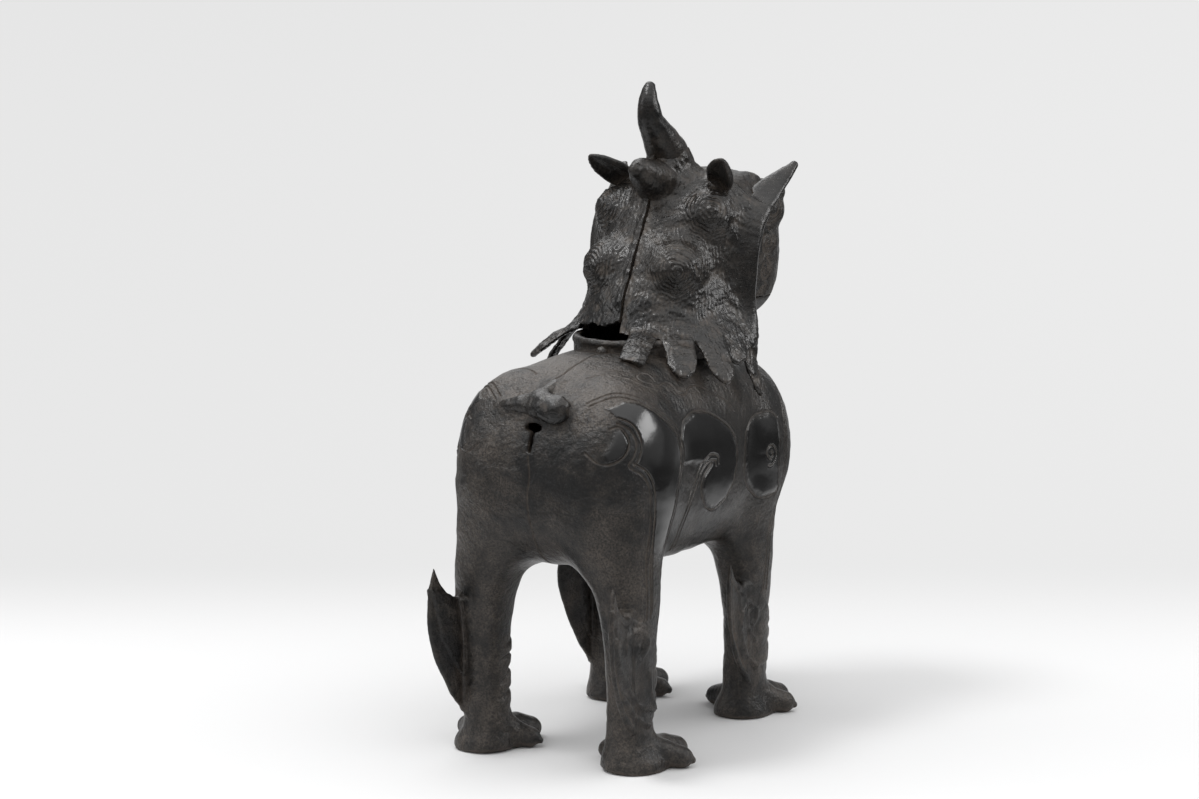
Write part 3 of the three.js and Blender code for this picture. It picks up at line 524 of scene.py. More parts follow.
# Folds above the paws: their spacing, the rise between them and their depth.
FOLD_SPACING, FOLD_RISE, FOLD_DEPTH = 8.5, 0.7, 1.7
# A ridge that runs from the seam over the left of the rump.
RUMP_RIDGE_RISE = 0.4
RUMP_RIDGE = ((36, 84, 142), (29, 87, 137), (23, 86.5, 134), (16, 88, 134), (2.6, 90, 133))


def outline(y, z, corners):
    """Signed distance from a closed outline."""
    nearest, inside = 1e9, False
    for (y0, z0), (y1, z1) in zip(corners, corners[1:] + corners[:1]):
        run_y, run_z = y1 - y0, z1 - z0
        along = np.clip(((y - y0) * run_y + (z - z0) * run_z) / (run_y ** 2 + run_z ** 2 + 1e-9), 0, 1)
        nearest = np.minimum(nearest, (y - y0 - along * run_y) ** 2 + (z - z0 - along * run_z) ** 2)
        if run_z:
            inside = inside ^ (((z0 > z) != (z1 > z)) & (y - y0 < run_y * (z - z0) / run_z))
    return np.where(inside, -1, 1) * np.sqrt(nearest)


def polished(points):
    """How far each point of the body lies within a polished field, from 0 to 1."""
    x, y, z = points.T
    edge = np.minimum.reduce([outline(y, z, field) for field in POLISHED])
    outside = np.abs(x) - 14.0 * (1 - swell(z, 95.0, 120.0))
    return swell(-edge, 0.0, 1.6) * swell(outside, 20.0, 24.0) * swell(z, 82.0, 108.0)


def leaf(points):
    """How far each point of the legs lies within a raised leaf, from 0 to 1."""
    x, y, z = points.T
    edge = np.minimum.reduce([outline(y, z, corners) for corners in LEAVES])
    return swell(-edge, -0.4, 0.9) * swell(np.abs(x), 32.0, 38.0)


def spiral(middle, across, up, radius, turns):
    """A spiral line of that outer radius in the plane of two directions."""
    turn = np.linspace(SPIRAL_START, 1, int(SPIRAL_STEPS * turns))
    angle = (2 * math.pi * turns * turn)[:, None]
    reach = (radius * turn)[:, None]
    around = np.cos(angle) * np.asarray(across) + np.sin(angle) * np.asarray(up)
    return np.asarray(middle) + reach * around


def inlaid(line, form):
    """A line drawn onto a form's surface."""
    return settle(through(line), form, LINE_PULL, 4)


def beside(line, form, gap):
    """A second line at a constant gap from a line on a form's surface."""
    slope = probe(form, line)[1]
    run = np.gradient(line, axis=0)
    return settle(line + unit(np.cross(run, slope)) * gap, form, LINE_PULL, 2)


def body_lines():
    """Samples of every line incised in the body's skin."""
    lines = [inlaid(line, body_form) for line in SINGLE_LINES + DOUBLE_LINES]
    lines += [beside(line, body_form, DOUBLE_GAP) for line in lines[len(SINGLE_LINES):]]
    middle, radius, turns = SHOULDER_CURL
    lines.append(settle(spiral(middle, (0, 1, 0), (0, 0, 1), radius, turns), body_form, LINE_PULL, 4))
    both = [line * (sign, 1, 1) for _, sign in SIDES for line in lines]
    both += [inlaid(line, body_form) for line in (SPINE, RUMP_SEAM)]
    return np.vstack(both)


# Finishes.

def new_group(name, inputs, outputs):
    """An empty shader node group with named sockets of kind Float, Color or Vector."""
    group = bpy.data.node_groups.new(name, "ShaderNodeTree")
    for label, kind, default in inputs:
        socket = group.interface.new_socket(label, in_out="INPUT", socket_type="NodeSocket" + kind)
        socket.default_value = default
    for label, kind in outputs:
        group.interface.new_socket(label, in_out="OUTPUT", socket_type="NodeSocket" + kind)
    return group, group.nodes.new("NodeGroupInput"), group.nodes.new("NodeGroupOutput")


def node(tree, kind, links=None, **values):
    """A node with its properties set and its inputs linked or given values."""
    made = tree.nodes.new("ShaderNode" + kind)
    for key, value in values.items():
        setattr(made, key, value)
    for key, source in (links or {}).items():
        socket = made.inputs[key]
        if isinstance(source, bpy.types.NodeSocket):
            tree.links.new(source, socket)
        else:
            socket.default_value = source
    return made


def maths(tree, operation, *sources, clamp=False):
    return node(tree, "Math", dict(enumerate(sources)), operation=operation, use_clamp=clamp).outputs[0]


def blend_colour(tree, share, first, second):
    return node(tree, "Mix", {0: share, 6: first, 7: second}, data_type="RGBA").outputs[2]


def attribute(tree, name):
    """What paint stored on the piece."""
    return node(tree, "Attribute", attribute_name=name).outputs["Fac"]


def grey_of(tree, level):
    return node(tree, "CombineColor", {0: level, 1: level, 2: level}).outputs[0]


def rgba(rgb):
    return (*rgb, 1.0)


def band(tree, value, low, high, out_low=0.0, out_high=1.0):
    """A value mapped smoothly from one range to another."""
    ends = {0: value, 1: low, 2: high, 3: out_low, 4: out_high}
    return node(tree, "MapRange", ends, interpolation_type="SMOOTHSTEP").outputs[0]


def noise(tree, scale, detail=3.0, roughness=0.55, distortion=0.0):
    where = node(tree, "TexCoord").outputs["Object"]
    given = {"Vector": where, "Scale": scale, "Detail": detail, "Roughness": roughness,
             "Distortion": distortion}
    return node(tree, "TexNoise", given).outputs["Fac"]


def recess_group():
    """Where dust and old wax lie: the grooves and crevices, broken up by fine noise."""
    group, given, out = new_group(
        "Recess dust", [("Reach", "Float", 0.006), ("Amount", "Float", 1.0)], [("Mask", "Float")])
    cut_in = attribute(group, "recess")
    shade = node(group, "AmbientOcclusion", {"Distance": given.outputs["Reach"]}, samples=6)
    hollow = band(group, shade.outputs["AO"], 0.75, 0.3)
    broken = band(group, noise(group, 420.0, 4.0), 0.3, 0.62, 0.35, 1.0)
    laid = maths(group, "MULTIPLY", maths(group, "MAXIMUM", cut_in, hollow), broken)
    group.links.new(maths(group, "MULTIPLY", laid, given.outputs["Amount"], clamp=True), out.inputs["Mask"])
    return group


def grain_group():
    """The skin left by the mould: fine sand grain, pits and shallow hollows, as a height in metres."""
    group, given, out = new_group(
        "Cast grain", [("Fine", "Float", 0.00003), ("Coarse", "Float", 0.0001), ("Pits", "Float", 0.0001)],
        [("Height", "Float"), ("Pitting", "Float")])
    fine = maths(group, "MULTIPLY", noise(group, 1900.0, 3.0), given.outputs["Fine"])
    coarse = maths(group, "MULTIPLY", noise(group, 420.0, 4.0), given.outputs["Coarse"])
    pitting = band(group, noise(group, 800.0, 2.0, 0.5, 0.4), 0.66, 0.78)
    sunk = maths(group, "MULTIPLY", pitting, given.outputs["Pits"])
    group.links.new(maths(group, "SUBTRACT", maths(group, "ADD", fine, coarse), sunk), out.inputs["Height"])
    group.links.new(pitting, out.inputs["Pitting"])
    return group


def patina_group():
    """Cloudy patches of black and brown patina over the metal, and where its clouds lie."""
    group, given, out = new_group(
        "Patina clouds",
        [("Black", "Color", (0.01, 0.01, 0.01, 1)), ("Brown", "Color", (0.05, 0.03, 0.02, 1)),
         ("Brownness", "Float", 0.4)],
        [("Color", "Color"), ("Cloud", "Float")])
    broad = noise(group, 26.0, 5.0, 0.6, 0.3)
    small = noise(group, 150.0, 5.0, 0.65)
    both = maths(group, "ADD", maths(group, "MULTIPLY", broad, 0.65), maths(group, "MULTIPLY", small, 0.35))
    cloud = band(group, both, 0.38, 0.64)
    fleck = band(group, noise(group, 1100.0, 4.0, 0.7), 0.34, 0.66, 0.25, 1.6)
    share = maths(group, "MULTIPLY", maths(group, "MULTIPLY", cloud, fleck), given.outputs["Brownness"],
                  clamp=True)
    group.links.new(blend_colour(group, share, given.outputs["Black"], given.outputs["Brown"]),
                    out.inputs["Color"])
    group.links.new(cloud, out.inputs["Cloud"])
    return group


def wear_group():
    """Edges and high spots where handling has rubbed the patina thin."""
    group, given, out = new_group("Edge wear", [("Amount", "Float", 1.0)], [("Mask", "Float")])
    sharp = band(group, node(group, "NewGeometry").outputs["Pointiness"], 0.53, 0.6)
    painted = attribute(group, "worn")
    patchy = band(group, noise(group, 300.0, 4.0), 0.35, 0.65)
    rubbed = maths(group, "MULTIPLY", maths(group, "MAXIMUM", sharp, painted), patchy)
    group.links.new(maths(group, "MULTIPLY", rubbed, given.outputs["Amount"], clamp=True),
                    out.inputs["Mask"])
    return group


def placed(tree, group, **values):
    """A node group placed in a material with its own values."""
    made = tree.nodes.new("ShaderNodeGroup")
    made.node_tree = group
    for label, value in values.items():
        made.inputs[label].default_value = value
    return made


METAL_SHARE, PATINA_IOR = 0.1, 1.5


def bronze(name, groups, colours, gloss, matt, dust, grain, wear):
    """Patinated bronze: gloss and matt are the roughness of its polished and of its dull places."""
    made = bpy.data.materials.new(name)
    made.use_nodes = True
    tree = made.node_tree
    shader = tree.nodes["Principled BSDF"]
    shader.inputs["IOR"].default_value = PATINA_IOR
    polish = attribute(tree, "polish")
    brown = attribute(tree, "brown")
    clouds = placed(tree, groups["patina"], Black=rgba(colours.black), Brown=rgba(colours.brown))
    tree.links.new(brown, clouds.inputs["Brownness"])
    laid = placed(tree, groups["recess"], Amount=dust)
    rubbed = placed(tree, groups["wear"], Amount=wear)
    skin = placed(tree, groups["grain"], Fine=grain[0], Coarse=grain[1], Pits=grain[2])
    shiny = blend_colour(tree, polish, clouds.outputs["Color"], rgba(colours.black))
    worn = blend_colour(tree, rubbed.outputs["Mask"], shiny, rgba(colours.worn))
    dusty = blend_colour(tree, laid.outputs["Mask"], worn, rgba(colours.dust))
    tree.links.new(dusty, shader.inputs["Base Color"])
    bare = maths(tree, "SUBTRACT", 1.0, laid.outputs["Mask"], clamp=True)
    tree.links.new(maths(tree, "MULTIPLY", bare, METAL_SHARE), shader.inputs["Metallic"])
    uneven = maths(tree, "MAXIMUM", maths(tree, "MULTIPLY", clouds.outputs["Cloud"], 0.5),
                   skin.outputs["Pitting"])
    plain = maths(tree, "SUBTRACT", 0.75, polish)
    dull = maths(tree, "ADD", maths(tree, "MULTIPLY", uneven, 0.35), plain, clamp=True)
    rough = node(tree, "MapRange", {0: dull, 1: 0.0, 2: 1.0, 3: gloss, 4: matt}).outputs[0]
    rough = maths(tree, "ADD", rough, maths(tree, "MULTIPLY", laid.outputs["Mask"], 0.3), clamp=True)
    rubbed_down = maths(tree, "MULTIPLY", rubbed.outputs["Mask"], 0.12)
    tree.links.new(maths(tree, "SUBTRACT", rough, rubbed_down, clamp=True), shader.inputs["Roughness"])
    specular = maths(tree, "ADD", maths(tree, "MULTIPLY", polish, 0.3), 0.25)
    tree.links.new(specular, shader.inputs["Specular IOR Level"])
    unpolished = maths(tree, "SUBTRACT", 1.05, polish, clamp=True)
    coarse = maths(tree, "MULTIPLY", maths(tree, "ADD", brown, 0.2), unpolished)
    relief = maths(tree, "MULTIPLY", skin.outputs["Height"], coarse)
    bump = node(tree, "Bump", {"Height": relief, "Strength": 1.0, "Distance": 1.0})
    tree.links.new(bump.outputs["Normal"], shader.inputs["Normal"])
    return made


# By slot: name, roughness where polished and where dull, dust, depths of grain, lumps and pits, and wear.
FINISHES = {
    "rubbed_bronze": ("Rubbed bronze", 0.18, 0.5, 0.9, (1.8e-4, 1e-3, 3e-4), 0.5),
    "cast_bronze": ("Cast bronze", 0.18, 0.5, 1.0, (2e-4, 1.1e-3, 3e-4), 0.8),
    "inner_bronze": ("Inner bronze", 0.3, 0.65, 1.0, (1.5e-4, 9e-4, 3e-4), 0.2),
    "hinge_bronze": ("Hinge bronze", 0.2, 0.5, 0.9, (1e-4, 4e-4, 1e-4), 0.8),
}


def finish_of(context, slot):
    """A slot's finish. All four are made when the first is asked for."""
    if FINISHES[slot][0] not in bpy.data.materials:
        groups = {"recess": recess_group(), "grain": grain_group(), "patina": patina_group(),
                  "wear": wear_group()}
        for name, *look in FINISHES.values():
            bronze(name, groups, context.scene.burner_colours, *look)
    return bpy.data.materials[FINISHES[slot][0]]


def fit(context, piece, body, slot, *nodes):
    """Gives a piece its finish and its body, and hides the frame's nodes that it stands for."""
    piece.data.materials.clear()
    piece.data.materials.append(finish_of(context, slot))
    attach(piece, body)
    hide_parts(*nodes)


# Settings.

def number(label, about, default, **kind):
    return FloatProperty(name=label, description=about, default=default, **kind)


def length(label, about, default):
    return number(label, about, default, unit="LENGTH", precision=4)


def colour(label, about, default):
    return FloatVectorProperty(
        name=label, description=about, default=default, size=3, min=0.0, max=1.0, subtype="COLOR")


class BurnerSizes(bpy.types.PropertyGroup):
    """Sizes of the casting and of the work on its surface."""
    pitch: length("Mesh pitch", "Spacing of the points that the smaller skins are drawn with", 0.0008)
    trunk_pitch: length("Trunk pitch", "Spacing of the points that the trunk's skin is drawn with", 0.0013)
    wall: length("Body wall", "Thickness of the body's cast wall", 0.004)
    line_depth: length("Line depth", "Depth of the incised lines", 0.00055)
    line_half_width: length("Line half width", "Half the width of an incised line", 0.00042)


class BurnerColours(bpy.types.PropertyGroup):
    """Colours of the patina."""
    black: colour("Black patina", "Darkest patina, on rubbed places", (0.006, 0.0058, 0.0058))
    brown: colour("Brown patina", "Brown patina, on dull places", (0.096, 0.08, 0.067))
    dust: colour("Recess dust", "Old dust and wax in the recesses", (0.075, 0.060, 0.048))
    worn: colour("Worn metal", "Patina rubbed thin along edges", (0.105, 0.092, 0.08))


class BurnerStage(bpy.types.PropertyGroup):
    """The camera and the studio round the burner."""
    azimuth: number("Azimuth", "Camera's turn from the rear axis towards the beast's right",
                    math.radians(29.44), subtype="ANGLE")
    elevation: number("Elevation", "Camera's height above the horizon", math.radians(8.82), subtype="ANGLE")
    distance: length("Distance", "Camera's distance from the point that it faces", 1.3705)
    aim: length("Aim height", "Height of the point that the camera faces", 0.14)
    lens: number("Lens", "Focal length", 88.9, unit="CAMERA")
    shift_x: number("Shift across", "Lens shift across the picture", -0.0249)
    shift_y: number("Shift up", "Lens shift up the picture", 0.0268)
    floor: colour("Floor", "Colour of the floor and the sweep behind it", (0.7, 0.7, 0.702))
    ambient: number("Ambient", "Strength of the light from above", 1.75)


# Pieces.

def sizes_of(context):
    """The settings in millimetres."""
    given = context.scene.burner_sizes
    coarse = 1.0
    return {"pitch": given.pitch / MM * coarse, "trunk_pitch": given.trunk_pitch / MM * coarse,
            "wall": given.wall / MM, "depth": given.line_depth / MM,
            "half_width": given.line_half_width / MM}


# Points this near to a skin's outer form belong to its outside.
SKIN_DEPTH = 0.5


def dress(piece, form, sizes, lines, ribs, rise=RIB_RISE):
    """Cuts lines into a skin, raises its ribs and polished fields and makes it uneven."""
    for reach in REFINE_REACH:
        refine(piece, distance_to(lines, points_of(piece), LINE_REACH) < reach)
    points = points_of(piece)
    value, slope = probe(form, points)
    outer = np.abs(value) < SKIN_DEPTH
    points[outer] = settle(points[outer], form, sizes["pitch"], 1)
    floor, burr = groove(distance_to(lines, points, LINE_REACH), sizes["half_width"])
    shiny = polished(points)
    height = (BURR_RISE * burr - floor) * sizes["depth"] + FIELD_RISE * shiny
    height += (1 - FIELD_CALM * shiny) * body_relief(points)
    rib = np.exp(-(distance_to(ribs, points) / RIB_HALF_WIDTH) ** 2)
    height += rise * rib
    height *= swell(points[:, 2], 0.3, 2.0)
    points[outer] += (unit(slope) * height[:, None])[outer]
    move_points(piece, points)
    shine = np.maximum(shiny * (1 - floor), body_polish(points))
    paint(piece, recess=np.where(outer, 0.9 * floor, 0.25), worn=RIB_WEAR * rib,
          polish=np.where(outer, shine, 0.1), brown=np.where(outer, body_brown(points), 0.8))


def flank(points):
    """How far each point lies on the flanks, which are made blacker and glossier, from 0 to 1."""
    x, y, z = points.T
    above = swell(np.abs(x), 33.0, 42.0) * swell(z, 92.0, 112.0)
    return above * (1 - swell(z, 146.0, 164.0)) * (1 - swell(y, 62.0, 78.0))


def near_tail(points):
    """How near each point lies to the tail's root, from 0 to 1."""
    return 1 - swell(np.linalg.norm((points - TAIL_ROOT) * TAIL_SPREAD, axis=1), *TAIL_FADE)


def body_polish(points):
    """The body's polish outside its polished fields, duller low down."""
    return 0.3 + 0.06 * swell(points[:, 2], 30.0, 120.0) + 0.12 * flank(points)


def body_brown(points):
    """How brown, and so how pale, the body's patina is: most on the lower legs and round the tail, less on
    the flanks, and more on the top of the back, partly its matt haze and partly a painted sheen.
    """
    low, high = 1 - swell(points[:, 2], 30.0, 110.0), swell(points[:, 2], 140.0, 168.0)
    # Paler brown on the top of the back: partly the patina's matt haze, partly a painted sheen of the light
    # from above.
    brown = 0.74 + 0.1 * low + 0.4 * high + 0.3 * near_tail(points)
    return brown * (1 - 0.5 * flank(points))


def body_relief(points):
    """The casting's unevenness: gentle on the flanks, grainy round the tail, creased above the paws."""
    x, y, z = points.T
    height = 0.2 * ripple(points, 16.0, 3) + 0.05 * ripple(points, 5.0, 4)
    height += near_tail(points) * (0.06 * ripple(points, 2.8, 5, 40) + 0.1 * ripple(points, 6.0, 6))
    middle = np.where(y > 0, REAR_LEG["y"], FRONT_LEG["y"])
    inward = swell(middle - y + 0.6 * (38.0 - np.abs(x)), -4.0, 11.0)
    inward = inward * swell(z, 17.0, 23.0) * (1 - swell(z, 46.0, 58.0))
    slant = z - 0.3 * (middle - y) + 1.6 * ripple(points, 14.0, 8)
    fold = 0.5 + 0.5 * np.cos(2 * math.pi * slant / FOLD_SPACING)
    height += inward * (FOLD_RISE - FOLD_DEPTH * fold ** 4) + LEAF_RISE * leaf(points)
    return height


# The head, in its own frame: its origin is the middle of the collar's top.
HEAD_SHIFT = np.array((0.0, NECK_Y, NECK_Z))
# Stations of height, half width, rear and half depth.
MANE_STATIONS = (
    (-3.5, 45, 31.5, 41.4), (0, 42.5, 28, 39.1), (7, 37, 24.3, 38), (15, 34.5, 21.8, 37),
    (28, 34, 17.5, 36), (37.5, 34, 12.6, 34.5), (47, 33, 6.6, 32), (57, 29.5, 0.5, 28),
    (66, 23.5, -8, 22.5), (73, 16, -16, 15.5), (78, 7.5, -24, 7.5))
MANE_WALL, PARTING_HALF = 3.0, 0.35
MANE_TOP, MANE_FOOT = MANE_STATIONS[-1][0], 2.0
RIM_REAR, RIM_HALF_DEPTH = MANE_STATIONS[1][2:]
FACE_JOINT = -30.0
# Room between the locks and the trunk, and how far from the middle the left side's foot is broken away.
MANE_ROOM, BROKEN_WIDTH = 1.0, 27.0
# Bosses: middle and radius, and the peak that their hair curls round.
BOSSES = ((23.0, -17.0, 53.9, 12.2), (16.0, 1.8, 28.8, 14.4))
BOSS_PEAKS = ((29.2, -9.1, 57.3), (24.1, 14.6, 31.0))
VALLEY, BOSS_FILLET = 2.4, 4.5
# Locks: degrees from the rear, reach, height of the tip, half width and how blunt the tip is.
LOCKS = {
    "right": (
        (19, 71, -8, 7.2, 0.7), (40, 63, -14, 7.6, 0.36), (61, 60, -18, 7.4, 0.36), (79, 50, -11, 7.5, 0.5),
        (94, 54, -27, 6.4, 0.24)),
    "left": ((54, 60, -11, 7.4, 0.3), (78, 56, -19, 6.8, 0.3))}
LOCK_HALF_THICKNESS, LOCK_FILLET = 1.5, 3.6
# Their roots, as height and depth in the bell, their bends, as shares of the way out and down, and widths.
LOCK_ROOT = ((18.0, 3.2), (10.0, 2.2), (3.5, 1.2))
LOCK_BENDS = ((0.45, 0.38), (0.78, 0.72), (0.93, 0.91))
LOCK_WIDTHS = (0.95, 0.95, 0.92, 0.94, 0.92)
# Front lip of the mane, and the tuft that it sweeps up into: x, y, z, half width and half thickness.
LIP = (
    (40.6, -19, -5, 3, 1.4), (39.4, -20.5, 0, 5, 1.5), (38.2, -21.8, 6, 6.5, 1.6),
    (36.8, -22, 15, 6.5, 1.6), (37.2, -22.5, 35, 6.5, 1.6), (37.4, -25, 45, 6.8, 1.6),
    (37.4, -28.5, 51, 7.2, 1.7), (38.2, -35, 57, 7.5, 1.9), (39.6, -43, 63, 7, 2), (42, -50, 68, 5.2, 1.9),
    (44.6, -56, 72.6, 3.2, 1.6), (46.2, -59.6, 75.3, 1.6, 1.2))
LIP_ACROSS = (0.87, -0.5, 0.0)
TUFT_ACROSS, TUFT_FOOT, TUFT_TURN = (0.85, 0.0, -0.53), 42.0, 24.0
LIP_RIM = (
    (42.6, -20.5, -4), (42.8, -23.5, 1), (42, -25, 10), (41.6, -25, 20), (42.6, -25.5, 35),
    (42.9, -26.4, 40), (42.7, -28.6, 45), (42.4, -31, 50), (42.7, -35.8, 55), (43.2, -42.6, 60),
    (44, -49.8, 65), (45.4, -56, 71), (46.4, -60, 75.7))
LIP_RIM_RADIUS, LIP_RIM_FILLET, LIP_FILLET = 1.3, 2.4, 11.0


def mane_form(q, inset=0.0):
    """The bell of the mane without its bosses and locks."""
    x, y, z = q
    height = z * MANE_TOP / (MANE_TOP - inset)
    half = eased(height, MANE_STATIONS, 1)
    rear = eased(height, MANE_STATIONS, 2)
    depth = eased(height, MANE_STATIONS, 3)
    bell = pebble((x, y), (0.0, rear - depth), (half - inset, depth - inset))
    return np.maximum(bell, z - (MANE_TOP - inset))


def rim_point(height, angle, sign):
    """A point on the bell at a height, at an angle from the rear."""
    half, rear, depth = (float(eased(np.array(height), MANE_STATIONS, i)) for i in (1, 2, 3))
    away = np.array((sign * math.sin(angle), math.cos(angle)))
    return np.array((0, rear - depth)) + away / math.hypot(away[0] / half, away[1] / depth)


def lock_form(q, lock, sign):
    """A leaf that flows out of the bell and hangs over its rim."""
    degrees, reach, tip, half_width, blunt = lock
    angle = math.radians(degrees)
    away = np.array((sign * math.sin(angle), math.cos(angle)))
    end = np.array((0, RIM_REAR - RIM_HALF_DEPTH)) + away * (reach - MANE_WALL / 2)
    path = [(*(rim_point(z, angle, sign) - sunk * away), z) for z, sunk in LOCK_ROOT]
    start = np.array(path[-1])
    run = np.array((*end, tip)) - start
    path += [tuple(start + run * (out, out, down)) for out, down in LOCK_BENDS] + [(*end, tip)]
    widths = (*LOCK_WIDTHS, 0.5 + 0.5 * blunt, blunt)
    stations = [(*place, half_width * width, LOCK_HALF_THICKNESS) for place, width in zip(path, widths)]
    return blade(q, smooth_stations(stations, 4.5), (away[1], -away[0], 0))


# Mounds that the horn, the knob and the ears rise from.
ROOT_FILLET = 6.0
ROOTS = (
    ((0, -23, 66, 12.4), (0, -21.6, 79, 10.7)), ((0, -16, 62, 10.9), (0, -8, 70.4, 8.4)),
    ((20, -33, 61, 7.4), (22.4, -29, 65.5, 6.4)))


def rooted(q, crown):
    """The top of the head with its mounds."""
    head = (np.abs(q[0]), q[1], q[2])
    for root in ROOTS:
        crown = melt(crown, stroke(head, root), ROOT_FILLET)
    return crown


def mane_skin(q, sign):
    """The outside of the mane: a bell that sinks between its bosses and rises into the mounds."""
    x, y, z = q
    sunk = swell(z, 16.0, 30.0) * (1 - swell(z, 62.0, 70.0)) * swell(y, -30.0, -22.0)
    outer = mane_form(q) + VALLEY * sunk
    for bx, by, bz, radius in BOSSES:
        outer = melt(outer, pebble((x * sign, y, z), (bx, by, bz), (radius,) * 3), BOSS_FILLET)
    return rooted(q, melt(outer, pebble(q, *SKULL, SKULL_POWER), SKULL_FILLET))


def skull_ahead(q):
    """What the face takes up in front of the joint with the mane."""
    return np.maximum(pebble(q, *SKULL, SKULL_POWER), q[1] - FACE_JOINT) - 0.2


def lip_form(q, side):
    """The flared lip along the mane's front, where x is positive, which turns outwards into the tuft."""
    short = 1 if side == "left" else 0
    stations = smooth_stations(LIP[:len(LIP) - short], 4.0)
    lip = None
    for pair in zip(stations, stations[1:]):
        turned = float(np.clip((pair[0][2] - TUFT_FOOT) / TUFT_TURN, 0, 1))
        strip = blade(q, pair, np.array(LIP_ACROSS) * (1 - turned) + np.array(TUFT_ACROSS) * turned)
        lip = strip if lip is None else np.minimum(lip, strip)
    edge = through(LIP_RIM[:len(LIP_RIM) - short], 4.0)
    return melt(lip, stroke(q, [(*point, LIP_RIM_RADIUS) for point in edge]), LIP_RIM_FILLET)


def mane_side(q, side, sign):
    """One side of the mane as a hollow shell with hanging locks and its front lip."""
    x, y, z = q
    shell = trim(mane_skin(q, sign), -mane_form(q, MANE_WALL), 0.5)
    shell = common(shell, MANE_FOOT - z, FACE_JOINT - y)
    if side == "left":
        ragged = 4.5 + 0.5 * np.sin(x * 0.5) + 0.3 * np.sin(x * 1.2 + 1) + 2.5 * swell(-x, -6.0, 1.0)
        shell = np.maximum(shell, -common(z - ragged, x - BROKEN_WIDTH, -y))
    for lock in LOCKS[side]:
        shell = melt(shell, lock_form(q, lock, sign), LOCK_FILLET)
    shell = melt(shell, lip_form((x * sign, y, z), side), LIP_FILLET)
    under = trunk_form((x, y + NECK_Y, z + NECK_Z)) - MANE_ROOM
    return common(shell, -skull_ahead(q), -under)


SKULL = ((0.0, -44.0, 37.0), (41.0, 29.0, 37.0))
SKULL_POWER, SKULL_FILLET = 3.0, 6.0
FACE_WALL = 4.0
JAW_TOP, MOUTH_TOP, MOUTH_HALF = 14.0, 21.0, 19.0
# Curls down each side of the face: middle, half sizes, and the spiral on their outside.
CHEEKS = (
    ((33, -51, 55), (11.2, 13, 11.5)), ((32, -49, 40), (10.6, 11.5, 8)), ((30.5, -48, 27.5), (10.2, 11, 7)),
    ((28, -47, 17), (9.6, 10.5, 5.5)))
CHEEK_SPIRALS = ((43, -45, 55, 8.5), (41.5, -43, 40, 6.4), (39.5, -42, 27.5, 5.6), (36.5, -42, 17.5, 4.5))
# The direction across them, their turns, and the half width and depth of their groove.
CHEEK_WAY, CHEEK_TURNS, CHEEK_GROOVE = (0.5, -0.87, 0.0), 2.2, (0.8, 0.6)
FOREHEAD = ((9.5, -53, 68, 8.0), (25, -51, 66, 8.0), (16, -62, 64.5, 6.5))
EYE = (16.0, -69.5, 49.0, 7.6)
PUPIL = ((16.0, -77.5, 48.6), (2.4, 1.6, 2.4))
BROW = (
    (6, -72, 57, 5.4), (14, -73.5, 61, 5.8), (24, -70.5, 62, 6.0), (33, -64, 61, 5.4), (38, -58, 63, 4.2))
BRIDGE = ((0, -66, 58, 6), (0, -73, 50, 6), (0, -80, 42, 7))
MUZZLE = ((0, -62, 33), (24, 19.5, 13), 2.6)
UPPER_LIP = ((11, -78, 31), (10, 6, 8))
NOSE, NOSTRIL = ((7, -81.5, 39), (6.2, 4.6, 4.8)), ((7.5, -86.5, 38.0), (2.6, 3.5, 2.2))
# Teeth: distance from the middle, height and, for the upper ones, radius.
UPPER_TEETH = ((15.5, 8.0, 2.3), (10.5, 4.0, 1.7), (6.3, 3.6, 1.7), (2.1, 3.6, 1.7))
LOWER_TEETH = ((13.0, 6.0), (8.2, 2.6), (4.2, 2.6))
JAW_FOOT, JAW_FLOOR = 5.0, 9.5
CHIN = ((0, -66, 11), (21, 12, 7), 2.6)
JAW_LIP = ((0, -76.5, 13.0, 2.2), (10, -75, 13.0, 2.2), (18, -70, 13.0, 2.0))
TONGUE = (
    (0, -52, 11, 9, 2.6), (0, -64, 13.5, 9, 2.6), (0, -72, 14.5, 7.5, 2.2), (0, -75.5, 14.8, 4.5, 1.6))
# Room that the face and the jaw leave at their joints.
JOINT_ROOM = 0.3


def face_form(q):
    """The outside of the face above the mouth."""
    x, y, z = q
    head = (np.abs(x), y, z)
    face = rooted(q, pebble(q, *SKULL, SKULL_POWER))
    face = melt(face, pebble(q, *MUZZLE), 5.0)
    for middle, half in CHEEKS:
        face = melt(face, pebble(head, middle, half), 2.2)
    for *middle, radius in FOREHEAD:
        face = melt(face, pebble(head, middle, (radius, radius, radius * 0.8)), 1.8)
    face = melt(face, pebble(head, *UPPER_LIP), 3.0)
    face = melt(face, stroke(q, BRIDGE), 4.0)
    face = melt(face, pebble(head, *NOSE), 2.0)
    face = trim(face, -pebble(head, *NOSTRIL), 1.0)
    face = melt(face, stroke(head, BROW), 2.0)
    lid = np.sqrt(pebble(head, EYE[:3], (EYE[3] + 1.2,) * 3) ** 2 + (y + 70.5) ** 2) - 1.9
    face = melt(face, lid, 1.4)
    face = melt(face, pebble(head, EYE[:3], (EYE[3],) * 3), 0.6)
    return trim(face, -pebble(head, *PUPIL), 0.5)


def skull_inside(q, inset):
    """The skull drawn in by an inset."""
    return pebble(q, SKULL[0], [half - inset for half in SKULL[1]], SKULL_POWER)


